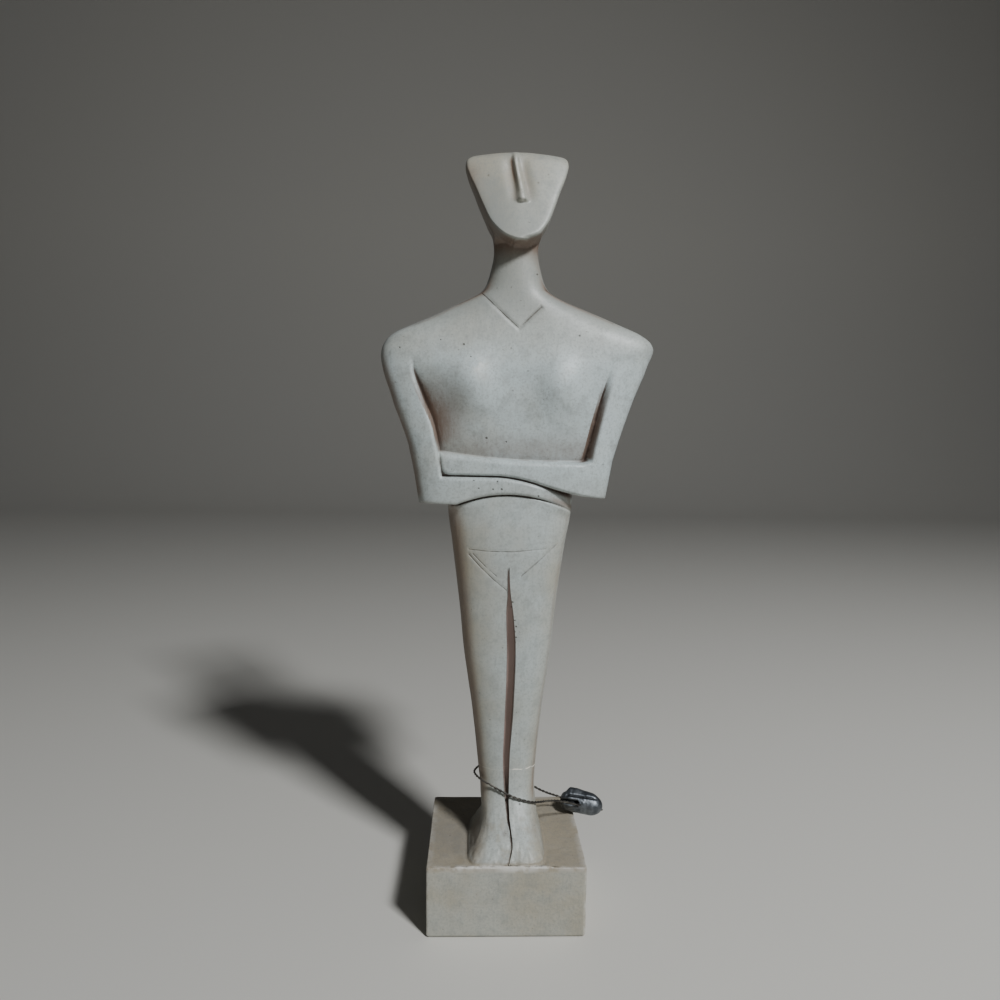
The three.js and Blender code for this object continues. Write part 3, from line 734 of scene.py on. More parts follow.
def segment_distance(tree, point, start, end):
    """Distance from a point to a straight stretch: to the nearest place on it, a share of the way along."""
    start, along = Vector(start), Vector(end) - Vector(start)
    away = add_node(tree, "VectorMath", SUBTRACT, point, start)
    dot = add_node(tree, "VectorMath", {"operation": "DOT_PRODUCT"}, away, along)
    share = add_node(tree, "Math", MULTIPLY_CLAMPED, dot, 1 / along.length_squared)
    nearest = add_node(tree, "VectorMath", {"operation": "SCALE"}, along, Scale=share)
    return add_node(tree, "VectorMath", DISTANCE, away, nearest)


def on_front(x, level):
    """A place on the figure's front in the object's coordinates, without its depth."""
    return FIGURE_SHIFT + x * SHARE, 0.0, PLINTH_HEIGHT + level * SHARE


def scratched_lines(tree, flat, mottle):
    """How strongly a carved line shows: all of its strength on it, and nothing a hair's width away.

    The mottling breaks the lines up, as a wash that took unevenly does.
    """
    total = 0.0
    for points, deep, _ in CARVED_LINES:
        nearest = FAR_AWAY
        for start, end in zip(points, points[1:]):
            away = segment_distance(tree, flat, on_front(*start), on_front(*end))
            nearest = add_node(tree, "Math", MINIMUM, nearest, away)
        line = add_node(tree, "MapRange", SMOOTH, nearest, 0.34 * MM, 0.06 * MM)
        line = add_node(tree, "Math", MULTIPLY, line, min(0.72, 0.3 + 0.65 * deep))
        total = add_node(tree, "Math", MAXIMUM, total, line)
    broken = add_node(tree, "MapRange", SMOOTH, mottle, 0.3, 0.6)
    return add_node(tree, "Math", MULTIPLY, total, broken)


def pits_and_chips(tree, flat):
    """1 in the air bubbles' pits and the cleft's chips, 0 outside them, by the nearest one's radius."""
    nearest = FAR_AWAY
    for x, level, radius in BUBBLE_PITS + CLEFT_CHIPS:
        away = add_node(tree, "VectorMath", DISTANCE, flat, on_front(x, level))
        away = add_node(tree, "Math", DIVIDE, away, radius * MM)
        nearest = add_node(tree, "Math", MINIMUM, nearest, away)
    return add_node(tree, "MapRange", SMOOTH, nearest, 1.25, 0.6)


def glue_line(tree, place, x, z):
    """A mended break across the ankles: a thin pale line of glue that wanders, clear on one leg only."""
    lumps = add_node(tree, "TexNoise", {}, place, Scale=1 / (4 * MM), Detail=2.0)
    wander = add_node(tree, "Math", MULTIPLY, lumps, 1.6 * MM)
    line_z = add_node(tree, "Math", ADD, wander, PLINTH_HEIGHT + GLUE_LEVEL * SHARE)
    above = add_node(tree, "Math", SUBTRACT, z, line_z)
    away = add_node(tree, "Math", {"operation": "ABSOLUTE"}, above)
    line = add_node(tree, "MapRange", SMOOTH, away, 0.3 * MM, 0.1 * MM)
    leg = add_node(tree, "MapRange", SMOOTH, x, 2 * MM, 3 * MM)
    leg = add_node(tree, "Math", MAXIMUM, leg, 0.15)
    line = add_node(tree, "Math", MULTIPLY, line, leg)
    crumbs = add_node(tree, "TexNoise", {}, place, Scale=1 / (1.5 * MM), Detail=1.0)
    crumbs = add_node(tree, "MapRange", SMOOTH, crumbs, 0.35, 0.5)
    return add_node(tree, "Math", MULTIPLY, line, crumbs)


def cast_stone(colours):
    """Cast stone: stone powder in a binder, poured in a mould, rubbed with a brown wash and wiped.

    It is pale, cool and matt with a faint waxy sheen. The wash stays dark in narrow grooves and soft in wide
    hollows, as a thin veil on the head, the feet and the block, and in brush marks. Painted shade and painted
    shadow darken the sides turned from the light, the neck under the chin and the hollows by the chest, the
    nose and the forearms, and painted highlights lie on the nose and the chest's mounds.
    """
    material, tree, shader = new_material("cast_stone_rubbed")
    place = add_node(tree, "TexCoord", {}, output="Object")
    fine_hollow, wide_hollow, veil_and_shade, cleft, worn, painted_shade = (
        add_node(tree, "Attribute", {"attribute_name": name}, output="Fac")
        for name in ("fine_hollow", "wide_hollow", "veil", "cleft", "worn", "painted_shade")
    )
    axes = add_node(tree, "SeparateXYZ", {}, place).node.outputs
    facing = add_node(tree, "Math", {"operation": "LESS_THAN"}, axes["Y"], -2 * MM)
    flat = add_node(tree, "VectorMath", MULTIPLY, place, (1.0, 0.0, 1.0))
    upright = add_node(tree, "VectorMath", MULTIPLY, place, (1.0, 1.0, 0.16))

    # Lumps of these sizes: clouds in the cast, its mottling and grains, upright brush marks and specks. The
    # grains are drawn coarser than stone powder, so that they show.
    clouds = add_node(tree, "TexNoise", {}, place, Scale=1 / (24 * MM), Detail=5.0, Roughness=0.55)
    mottle = add_node(tree, "TexNoise", {}, place, Scale=1 / (4.5 * MM), Detail=4.0, Roughness=0.6)
    grain = add_node(tree, "TexNoise", {}, place, Scale=1 / (0.9 * MM), Detail=3.0, Roughness=0.65)
    streaks = add_node(tree, "TexNoise", {}, upright, Scale=1 / (1.3 * MM), Detail=4.0, Roughness=0.6)
    specks = add_node(tree, "TexNoise", {}, place, Scale=1 / (1.5 * MM), Detail=1.0, Roughness=0.5)

    # The stone under its thin veil of wash, which also carries painted shade, then greyed with more painted
    # shade
    cloudy = add_node(tree, "MapRange", SMOOTH, clouds, 0.4, 0.7)
    cloudy = add_node(tree, "Math", MULTIPLY, cloudy, 0.3)
    veil = add_node(tree, "Math", ADD_CLAMPED, cloudy, veil_and_shade)
    colour = add_node(tree, "Mix", COLOURS, veil, linear(colours.stone), linear(colours.veil))
    # Painted shade: the grain's grey, mixed in on the neck, the head, the legs and the side away from the
    # light
    colour = add_node(tree, "Mix", COLOURS, painted_shade, colour, linear(colours.grain))

    # Patches, brush marks, grains and specks: where each pattern starts and is full, its strength and colour
    for pattern, start, full, strength, tone in (
        (mottle, 0.45, 0.72, 0.36, colours.grain),
        (streaks, 0.5, 0.78, 0.28, colours.grain),
        (grain, 0.44, 0.72, 0.46, colours.grain),
        (specks, 0.74, 0.8, 0.45, colours.pit),
    ):
        share = add_node(tree, "MapRange", SMOOTH, pattern, start, full)
        share = add_node(tree, "Math", MULTIPLY, share, strength)
        colour = add_node(tree, "Mix", COLOURS, share, colour, linear(tone))

    # Plaster that was smeared by hand on the feet holds the wash in patches
    ankle_z, toe_z = PLINTH_HEIGHT + 8 * SHARE, PLINTH_HEIGHT + 3 * SHARE
    on_foot = add_node(tree, "MapRange", SMOOTH, axes["Z"], ankle_z, toe_z)
    above_block = add_node(tree, "MapRange", SMOOTH, axes["Z"], PLINTH_HEIGHT, PLINTH_HEIGHT + 0.4 * SHARE)
    patchy = add_node(tree, "MapRange", SMOOTH, mottle, 0.5, 0.66)
    patchy = add_node(tree, "Math", MULTIPLY, patchy, above_block)
    patchy = add_node(tree, "Math", MULTIPLY, patchy, on_foot)
    patchy = add_node(tree, "Math", MULTIPLY, patchy, 0.35)
    colour = add_node(tree, "Mix", COLOURS, patchy, colour, linear(colours.veil))

    # The block's edges painted pale, and painted highlights on the nose and the chest's mounds, a little
    # unevenly
    uneven = add_node(tree, "MapRange", SMOOTH, mottle, 0.35, 0.6)
    rubbed = add_node(tree, "Math", MULTIPLY_CLAMPED, worn, uneven)
    colour = add_node(tree, "Mix", COLOURS, rubbed, colour, linear(colours.worn))

    # The wash, thin and streaked in wide hollows, nearly solid in narrow ones and in the cleft. The hollow
    # masks also carry painted shade and painted shadow beside the chest, under the chin and at the forearms.
    wide = add_node(tree, "MapRange", SMOOTH, streaks, -0.25, 0.6)
    wide = add_node(tree, "Math", MULTIPLY, wide, wide_hollow)
    wide = add_node(tree, "Math", MULTIPLY_CLAMPED, wide, 0.95)
    colour = add_node(tree, "Mix", COLOURS, wide, colour, linear(colours.wash))
    in_cleft = add_node(tree, "Math", MULTIPLY, cleft, 0.92)
    colour = add_node(tree, "Mix", COLOURS, in_cleft, colour, linear(colours.cleft))
    fine = add_node(tree, "MapRange", SMOOTH, mottle, 0.15, 0.5)
    fine = add_node(tree, "Math", MULTIPLY_CLAMPED, fine, fine_hollow)
    colour = add_node(tree, "Mix", COLOURS, fine, colour, linear(colours.deep_wash))

    # Carved lines, pits and the glue, on the front alone
    lines = add_node(tree, "Math", MULTIPLY, scratched_lines(tree, flat, mottle), facing)
    colour = add_node(tree, "Mix", COLOURS, lines, colour, linear(colours.deep_wash))
    pits = add_node(tree, "Math", MULTIPLY, pits_and_chips(tree, flat), facing)
    pit_tone = add_node(tree, "Math", MULTIPLY, pits, 0.75)
    colour = add_node(tree, "Mix", COLOURS, pit_tone, colour, linear(colours.pit))
    glue = add_node(tree, "Math", MULTIPLY, glue_line(tree, place, axes["X"], axes["Z"]), facing)
    colour = add_node(tree, "Mix", COLOURS, glue, colour, linear(colours.glue))
    tree.links.new(colour, shader.inputs["Base Color"])

    # Rougher on the grains, on the smeared feet and in the washed hollows
    rough = 0.4
    for pattern, more in ((grain, 0.25), (on_foot, 0.2), (wide_hollow, 0.2)):
        share = add_node(tree, "Math", MULTIPLY, pattern, more)
        rough = add_node(tree, "Math", ADD_CLAMPED, share, rough)
    tree.links.new(rough, shader.inputs["Roughness"])
    shader.inputs["Coat Weight"].default_value = 0.32
    shader.inputs["Coat Roughness"].default_value = 0.36

    # The relief of grains, brush marks and smears, and below it the lines and pits
    smears = add_node(tree, "Math", MULTIPLY, on_foot, 4.0)
    smears = add_node(tree, "Math", ADD, smears, 0.3)
    skin = add_node(tree, "Math", MULTIPLY, mottle, smears)
    for pattern, height in ((grain, 0.5), (streaks, 0.6)):
        share = add_node(tree, "Math", MULTIPLY, pattern, height)
        skin = add_node(tree, "Math", ADD, skin, share)
    fine_bump = add_node(tree, "Bump", {}, Strength=0.55, Distance=0.15 * MM, Height=skin)
    cut = add_node(tree, "Math", MAXIMUM, pits, lines)
    sunk = add_node(tree, "Math", SUBTRACT, 1.0, cut)
    deep_bump = add_node(tree, "Bump", {}, Strength=0.8, Distance=0.5 * MM, Height=sunk, Normal=fine_bump)
    tree.links.new(deep_bump, shader.inputs["Normal"])
    return material


def soft_lead(colours):
    """Lead: a soft grey metal, crimped in a hand press, dull with oxide and brighter where pressed."""
    material, tree, shader = new_material("lead_crimped")
    place = add_node(tree, "TexCoord", {}, output="Object")
    cut = add_node(tree, "Attribute", {"attribute_name": "cut"}, output="Fac")
    lumps = add_node(tree, "TexNoise", {}, place, Scale=1 / (3.5 * MM), Detail=4.0, Roughness=0.6)
    scuffs = add_node(tree, "TexNoise", {}, place, Scale=1 / (0.7 * MM), Detail=3.0, Roughness=0.6)
    oxide = add_node(tree, "MapRange", SMOOTH, lumps, 0.35, 0.65)
    colour = add_node(tree, "Mix", COLOURS, oxide, linear(colours.lead), linear(colours.lead_oxide))
    # Painted shade in the seal's cuts, near black, darker the deeper the cut
    cut_shade = add_node(tree, "Math", MULTIPLY, cut, 0.85)
    colour = add_node(tree, "Mix", COLOURS, cut_shade, colour, linear(colours.lead_cut_shade))
    tree.links.new(colour, shader.inputs["Base Color"])
    shader.inputs["Metallic"].default_value = 0.85
    scuffed = add_node(tree, "Math", MULTIPLY, scuffs, 0.3)
    rough = add_node(tree, "Math", ADD, scuffed, 0.3)
    tree.links.new(rough, shader.inputs["Roughness"])
    height = add_node(tree, "Math", MULTIPLY, lumps, 0.7)
    height = add_node(tree, "Math", ADD, height, scuffed)
    pressed = add_node(tree, "Bump", {}, Strength=0.5, Distance=0.25 * MM, Height=height)
    tree.links.new(pressed, shader.inputs["Normal"])
    return material


def galvanised_wire(colours):
    """Thin galvanised steel wire in two strands: dull and darkened by handling, brighter where it is worn."""
    material, tree, shader = new_material("wire_dulled")
    place = add_node(tree, "TexCoord", {}, output="Object")
    patches = add_node(tree, "TexNoise", {}, place, Scale=1 / (6 * MM), Detail=3.0)
    worn = add_node(tree, "MapRange", SMOOTH, patches, 0.4, 0.62)
    colour = add_node(tree, "Mix", COLOURS, worn, linear(colours.wire), linear(colours.wire_worn))
    tree.links.new(colour, shader.inputs["Base Color"])
    shader.inputs["Metallic"].default_value = 0.8
    shader.inputs["Roughness"].default_value = 0.48
    return material


# The masks of the finish, with x and level in hundredths of the figure's height and t across it from -1 to 1

def hollows(points, is_front):
    """How far each point lies behind its close and its wider surroundings, as two masks from 0 to 1.

    The front is seen from in front and the back from behind.
    """
    fine = np.zeros(points.shape[:2])
    wide = np.zeros(points.shape[:2])
    turned_back = points[:, ~is_front] * np.array([-1, -1, 1])
    for columns, sheet in ((is_front, points[:, is_front]), (~is_front, turned_back)):
        fine[:, columns] = smoothstep(0.12 * MM, 0.8 * MM, hollow_depth(sheet, 1.1 * MM))
        wide[:, columns] = smoothstep(0.3 * MM, 3.2 * MM, hollow_depth(sheet, 4.5 * MM))
    return fine, wide


def kept_wash(x, level, t):
    """How much wash the wiping leaves in the fine hollows, and in the wide ones.

    It is wiped off the outline, the upper forearm's ledge, the feet and the crown, and mostly off the head.
    """
    on_edges = smoothstep(0.9, 0.98, np.abs(t))
    on_crown = smoothstep(97.6, 99, level)
    on_ledge = bump(level - upper_arm_line(x), 1.6) * smoothstep(11, 9, np.abs(x + 0.5))
    on_foot = smoothstep(8, 5.5, level) * smoothstep(0.5, 0.8, np.abs(x + 0.35))
    on_head = smoothstep(80.5, 82.5, level)
    off_edges = (1 - on_edges) * (1 - on_crown)
    fine = off_edges * (1 - on_ledge) * (1 - on_foot) * (1 - 0.9 * on_head)
    wide = off_edges * (1 - 0.8 * on_ledge) * (1 - 0.8 * on_foot) * (1 - 0.65 * on_head)
    return fine, wide


def chest_wash_and_shade(x, level, t):
    """Wash and painted shade by the chest: soft by the figure's right arm, solid in the slit by its left one.
    """
    soft = smoothstep(-4.8, -11.5, x) * smoothstep(57, 60, level) * smoothstep(69.5, 62, level)
    soft = soft * (t > left_edge(level) - 0.004)
    slit = smoothstep(RIGHT_ARM_AT + 0.085, RIGHT_ARM_AT + 0.05, t) * (t > RIGHT_ARM_AT - 0.01)
    return soft, slit * smoothstep(56.5, 57, level) * smoothstep(68, 62, level)


def head_shade(y, level):
    """Painted shade behind the face's plane, and the chin's painted shadow on the neck below it."""
    face_y = -SHARE * (CHIN_REACH - FACE_LEAN * (level - CHIN_LEVEL))
    behind_face = smoothstep(0.9 * MM, 2.8 * MM, y - face_y)
    return behind_face, bump(level - 86.5, 1.6) * behind_face


def nose_wash_and_shadow(x, level):
    """The wash on both sides of the nose, and painted shadow in the crease along the viewer's left one."""
    off_nose = x - nose_middle(level)
    sides = 0.3 * bump(off_nose + 1.0, 0.5) + 0.3 * bump(off_nose - 1.05, 0.5)
    sides = sides * smoothstep(91.7, 92.6, level) * smoothstep(99, 96.5, level)
    # Painted shadow of the nose, on its side away from the light
    crease = 0.95 * bump(off_nose + 0.6, 0.24) * smoothstep(93.6, 96, level) * smoothstep(98.9, 98, level)
    return np.maximum(sides, crease)


def forearm_shade(x, level, t):
    """Painted shade above the upper forearm and in the wedge under the lower one, by the figure's left elbow.
    """
    over = 0.45 * smoothstep(61.5, 57.5, level) * (level > upper_arm_line(x)) * (np.abs(t) < 0.68)
    wedge = 0.7 * bump(level - lower_arm_line(x) - 0.55, 0.5) * smoothstep(3.5, 6.5, x) * smoothstep(10, 9, x)
    return np.maximum(over, wedge)


def side_shade(level, t):
    """Painted shade on the sides of the arm and the leg at the viewer's left, turned from the light."""
    arm = 0.8 * smoothstep(-0.9, -0.985, t) * smoothstep(50, 52, level) * smoothstep(73, 68, level)
    leg = 0.75 * smoothstep(-0.68, -0.92, t) * smoothstep(51, 49, level) * smoothstep(5, 9, level)
    return np.maximum(arm, leg)


def cleft_wash(level, t):
    """The wash between the legs, from the belly down to the feet, where it fades."""
    between_legs = smoothstep(COLUMN_MIDDLE, 0.07, np.abs(t)) * smoothstep(0.05, 0.5, cleft_depth(level))
    return between_legs * mix(0.35, 1, smoothstep(7, 11, level))


def veil_and_shade_share(x, level, t):
    """Where the veil's warm tone is mixed in: most on the block and the head, and least on the chest.

    More of it is painted shade: on the cheek and the leg at the viewer's left, and on the legs' sides.
    """
    by_level = profile([
        [-9, 0.6], [-0.6, 0.6], [-0.25, 0.95], [0.1, 0.95], [0.6, 0.4], [10, 0.26], [40, 0.14], [51, 0.14],
        [56, 0.0], [69, 0.0], [74, 0.36], [84, 0.58], [100, 0.56],
    ])
    cheek = 0.3 * smoothstep(2, -4, x) * smoothstep(86, 89, level)
    legs = 0.35 * smoothstep(-1, -5, x) * smoothstep(49, 46, level) * smoothstep(5, 9, level)
    sides = 0.32 * smoothstep(0.55, 0.9, np.abs(t)) * smoothstep(51, 49, level) * (level > 0.5)
    return by_level(level) + cheek + legs + sides


def painted_shade_share(x, level, t):
    """Painted shade in a grey: on the neck, the head and the legs, more at the viewer's left, away from the
    light.
    """
    by_level = profile([
        [-9, 0], [4, 0.06], [12, 0.16], [36, 0.16], [48, 0.14], [52, 0.12], [56, 0], [69, 0.02], [74, 0.16],
        [79, 0.6], [88, 0.48], [94, 0.24], [100, 0.16],
    ])
    cheek = 0.42 * smoothstep(1.5, -4, x) * smoothstep(86, 88, level) * smoothstep(98, 93, level)
    legs = 0.12 * smoothstep(1, -4, x) * smoothstep(50, 48, level) * smoothstep(6, 12, level)
    return by_level(level) + cheek + legs + 0.35 * smoothstep(-0.93, -0.99, t)


def pale_edges(points):
    """Along the block's edges, where two of its three faces are close, the stone is painted pale.

    In front of the toes the pale band follows the burr and is wider.
    """
    x, y, z = points[..., 0], points[..., 1], points[..., 2]
    wide = 0.7 * MM
    beside_x = bump(np.abs(x) - PLINTH_WIDTH / 2, wide)
    beside_y = bump(np.abs(y) - PLINTH_DEPTH / 2, wide)
    beside_z = bump(z - PLINTH_HEIGHT, wide)
    edges = np.maximum.reduce([beside_x * beside_y, beside_x * beside_z, beside_y * beside_z])
    edges = edges * (z < PLINTH_HEIGHT + 2 * MM)
    beside_toes = smoothstep(26 * MM, 12 * MM, np.abs(x + 4 * MM))
    from_band = z - PLINTH_HEIGHT + 0.25 * MM * burr_wave(points)
    toes = bump(y + PLINTH_DEPTH / 2, 1.3 * MM) * bump(from_band, mix(0.3, 0.65, beside_toes) * MM)
    return np.maximum(0.95 * edges, 1.6 * toes * mix(0.5, 1, beside_toes))


def painted_highlights(x, level):
    """Painted highlights on the front: along the nose's ridge and on the tips of the chest's two mounds."""
    on_nose = bump(x - nose_middle(level) - 0.05, 0.16)
    on_nose = 0.7 * on_nose * smoothstep(91.6, 92.2, level) * smoothstep(99.5, 97, level)
    mound = 0.4 * bump(x + 5.3, 1.6) * bump(level - 69.3, 1.5)
    tips = 0.9 * bump(x + 5.1, 0.4) * bump(level - 69.6, 0.4)
    tips = tips + 0.7 * bump(x - 8.2, 0.3) * bump(level - 69.0, 0.3)
    return np.maximum(on_nose, mound + tips)


def finish_masks(points, t, is_front):
    """The six masks of the finish, by the names of their attributes.

    They are the wash in fine and in wide hollows, its thin veil, the wash in the cleft, where the stone is
    painted pale and where it is greyed with painted shade. The wash lies in the hollows that are found, less
    what is wiped off, and in the places that are named here. Painted shade and painted shadow join the hollow
    masks and the veil beside the chest, under the chin, beside the face and nose, at the forearms and on the
    sides turned from the light, and the pale mask also holds painted highlights on the nose and the chest's
    mounds.
    """
    x = (points[..., 0] - FIGURE_SHIFT) / SHARE
    level = (points[..., 2] - PLINTH_HEIGHT) / SHARE
    t = t[None, :]
    fine, wide = hollows(points, is_front)
    fine_kept, wide_kept = kept_wash(x, level, t)
    on_figure = smoothstep(-0.2, 1.2, level)
    beside_chest, slit = chest_wash_and_shade(x, level, t)
    behind_face, chin_shadow = head_shade(points[..., 1], level)
    # Painted shade on the head's side at the viewer's left, away from the light
    beside_face = 0.55 * behind_face * smoothstep(0, -2, x)
    beside_face = beside_face * smoothstep(84, 87, level) * smoothstep(99, 96, level)
    # Painted shadow that the upper forearm's edge casts just under the seam
    seam_shadow = bump(level - seam_line(x) + 0.35, 0.35) * smoothstep(2, 7.5, x) * smoothstep(13, 11, x)
    # Painted shade on the left foot's side, away from the light
    foot_side_shade = 0.4 * smoothstep(-2.6, -5, x) * bump(level - 2, 2.5) * (level > -0.1)
    in_cleft = cleft_wash(level, t) * is_front

    wide = mix(0.3 * smoothstep(-0.6, -0.1, level), wide * wide_kept, on_figure)
    # Wash and painted shade in wide hollows: the chest's hollow and slit, the chin's shadow, the head's left
    # side, the nose's sides and shadow, the forearms and the left foot
    front_wide = np.maximum.reduce([
        0.95 * beside_chest, slit, 0.85 * chin_shadow, beside_face, nose_wash_and_shadow(x, level),
        forearm_shade(x, level, t), foot_side_shade,
    ])
    # Painted shadow in the fine hollows: the slit's wall, under the chin and under the forearms' seam
    front_fine = np.maximum.reduce([0.45 * slit, 0.35 * chin_shadow, 0.8 * seam_shadow])
    fine = fine * fine_kept * on_figure * (1 - 0.65 * beside_chest * is_front)
    return {
        "fine_hollow": np.maximum(fine, front_fine * is_front) * (1 - in_cleft),
        "wide_hollow": np.maximum.reduce([wide, front_wide * is_front, side_shade(level, t)]),
        # The veil also takes the chin's painted shadow, and the worn mask the painted highlights on the nose
        # and mounds
        "veil": np.maximum(veil_and_shade_share(x, level, t), 0.9 * chin_shadow * is_front),
        "cleft": in_cleft * on_figure,
        "worn": np.maximum(pale_edges(points), painted_highlights(x, level) * is_front),
        "painted_shade": painted_shade_share(x, level, t),
    }


# Pieces

def add_piece(name, mesh, material, node):
    """Puts a mesh in the scene in the place of a node of the CAD."""
    piece = bpy.data.objects.new(name, mesh)
    bpy.context.scene.collection.objects.link(piece)
    mesh.materials.append(material)
    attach(piece, "root")
    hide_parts(node)
    return piece


def make_figurine(colours, sizes):
    """The cast figure and its block, one mesh with the masks of its finish."""
    points, t, is_front = figurine_points(sizes)
    mesh = smooth_mesh("figurine_cast", [closed_surface(points)])
    for name, values in finish_masks(points, t, is_front).items():
        add_attribute(mesh, name, values)
    return add_piece("figurine_cast", mesh, cast_stone(colours), "figurine")


# The wire's points in millimetres, from inside the seal's left end round the ankles and out by its right end
WIRE_ROUTE = np.array([
    [28.0, 14.7, 33.4], [24.0, 14.9, 34.7], [17.6, 11.2, 38.6], [12.9, 9.4, 41.8], [8.6, 10.4, 44.8],
    [0.4, 11.0, 48.9], [-8.9, 8.4, 52.1], [-12.6, 1.5, 52.7], [-12.1, -4.0, 53.2], [-9.4, -8.4, 52.9],
    [-6.4, -10.4, 52.1], [-3.2, -11.6, 50.7], [0.3, -12.6, 49.2], [4.5, -12.9, 47.5], [9.7, -11.7, 45.5],
    [13.6, -7.5, 43.4], [17.0, -2.9, 41.5], [22.0, 2.3, 39.0], [26.6, 5.8, 36.6], [31.0, 8.6, 34.2],
    [34.6, 10.8, 32.6], [39.0, 11.9, 31.0], [42.9, 12.2, 29.9],
]) * MM

# How finely the wire is made: its rings, its sides and the steps of each stretch of its route
WIRE_RINGS = 640
WIRE_SIDES = 10
WIRE_STEPS = 40

# Each strand's place and radius, as shares of the width of the two together
STRAND_OFFSET = 0.21
STRAND_RADIUS = 0.33


def smooth_path(points, steps):
    """A centripetal Catmull-Rom curve through the points, walked at equal steps of its length."""
    ends = [2 * points[0] - points[1], 2 * points[-1] - points[-2]]
    p = np.concatenate([ends[:1], points, ends[1:]])
    knots = np.concatenate([[0], np.cumsum(np.linalg.norm(np.diff(p, axis=0), axis=1) ** 0.5)])
    dense = []
    for i in range(1, len(p) - 2):
        t = np.linspace(knots[i], knots[i + 1], WIRE_STEPS, endpoint=False)[:, None]
        t0, t1, t2, t3 = knots[i - 1:i + 3]
        a1 = ((t1 - t) * p[i - 1] + (t - t0) * p[i]) / (t1 - t0)
        a2 = ((t2 - t) * p[i] + (t - t1) * p[i + 1]) / (t2 - t1)
        a3 = ((t3 - t) * p[i + 1] + (t - t2) * p[i + 2]) / (t3 - t2)
        b1 = ((t2 - t) * a1 + (t - t0) * a2) / (t2 - t0)
        b2 = ((t3 - t) * a2 + (t - t1) * a3) / (t3 - t1)
        dense.append(((t2 - t) * b1 + (t - t1) * b2) / (t2 - t1))
    dense = np.concatenate([*dense, points[-1:]])
    length = np.concatenate([[0], np.cumsum(np.linalg.norm(np.diff(dense, axis=0), axis=1))])
    at = np.linspace(0, length[-1], steps)
    return np.stack([np.interp(at, length, dense[:, k]) for k in range(3)], 1), length[-1]


def path_frames(path):
    """Two directions across a path at each of its points, the first of them level, so they hardly turn."""
    along = np.gradient(path, axis=0)
    along /= np.linalg.norm(along, axis=1, keepdims=True)
    across = np.cross(along, [0, 0, 1.0])
    across /= np.linalg.norm(across, axis=1, keepdims=True)
    return across, np.cross(across, along)


def strand(path, length, phase, sizes):
    """A round strand that winds round the path once in each twist length, with rounded ends."""
    offset, radius = STRAND_OFFSET * sizes.wire_diameter, STRAND_RADIUS * sizes.wire_diameter
    at = np.linspace(0, length, len(path))
    turn = (2 * math.pi * at / sizes.twist_length + phase)[:, None]
    across, upward = path_frames(path)
    centre = path + offset * (np.cos(turn) * across + np.sin(turn) * upward)
    across, upward = path_frames(centre)
    around = np.linspace(0, 2 * math.pi, WIRE_SIDES, endpoint=False)[None, :, None]
    to_end = np.minimum(at, length - at) / radius
    size = radius * np.sqrt(1 - (1 - clamp01(to_end + 0.15)) ** 2)
    ring = np.cos(around) * across[:, None] + np.sin(around) * upward[:, None]
    return centre[:, None] + size[:, None, None] * ring


def make_wire(colours, sizes):
    """Two strands that wind round the route, half a turn apart."""
    path, length = smooth_path(WIRE_ROUTE, WIRE_RINGS)
    strands = [closed_surface(strand(path, length, phase, sizes)) for phase in (0, math.pi)]
    mesh = smooth_mesh("seal_wire_twisted", strands)
    piece = add_piece("seal_wire_twisted", mesh, galvanised_wire(colours), "seal_wire")
    return piece


# The seal: the rounding of its left and right ends, its turn and dip in degrees, and where its middle is
SEAL_END = 4.2 * MM
SEAL_SMOOTH_END = 5.6 * MM
SEAL_TURN = 12.0
SEAL_DIP = 6.5
SEAL_ALONG = 3.2 * MM
SEAL_BACK = 13.8 * MM
SEAL_GAP = 0.3 * MM
SEAL_RINGS = 180
SEAL_COLUMNS = 132
RIDGE_HEIGHT = 1.25 * MM
CREASE_DEPTH = 0.62 * MM
SLOT_DEPTH = 1.35 * MM
SLOT_ANGLE = 1.32
SLOT_START = -9 * MM
HOLE_AT = -1.9 * MM
HOLE_HALF = 0.85 * MM
HOLE_DEPTH = 1.9 * MM
DENT_DEPTH = 0.35 * MM
CRUMPLE = 0.6 * MM


def seal_place(sizes):
    """From the seal's own axes, X along it, Y to the back and Z up, to the object's."""
    dip, turn = math.radians(SEAL_DIP), math.radians(-SEAL_TURN)
    lift = sizes.seal_radius / math.cos(dip) + SEAL_GAP - math.tan(dip) * SEAL_ALONG
    middle = Vector((PLINTH_WIDTH / 2 + SEAL_ALONG, SEAL_BACK, PLINTH_HEIGHT + lift))
    return Matrix.Translation(middle) @ Matrix.Rotation(turn, 4, "Z") @ Matrix.Rotation(dip, 4, "Y")


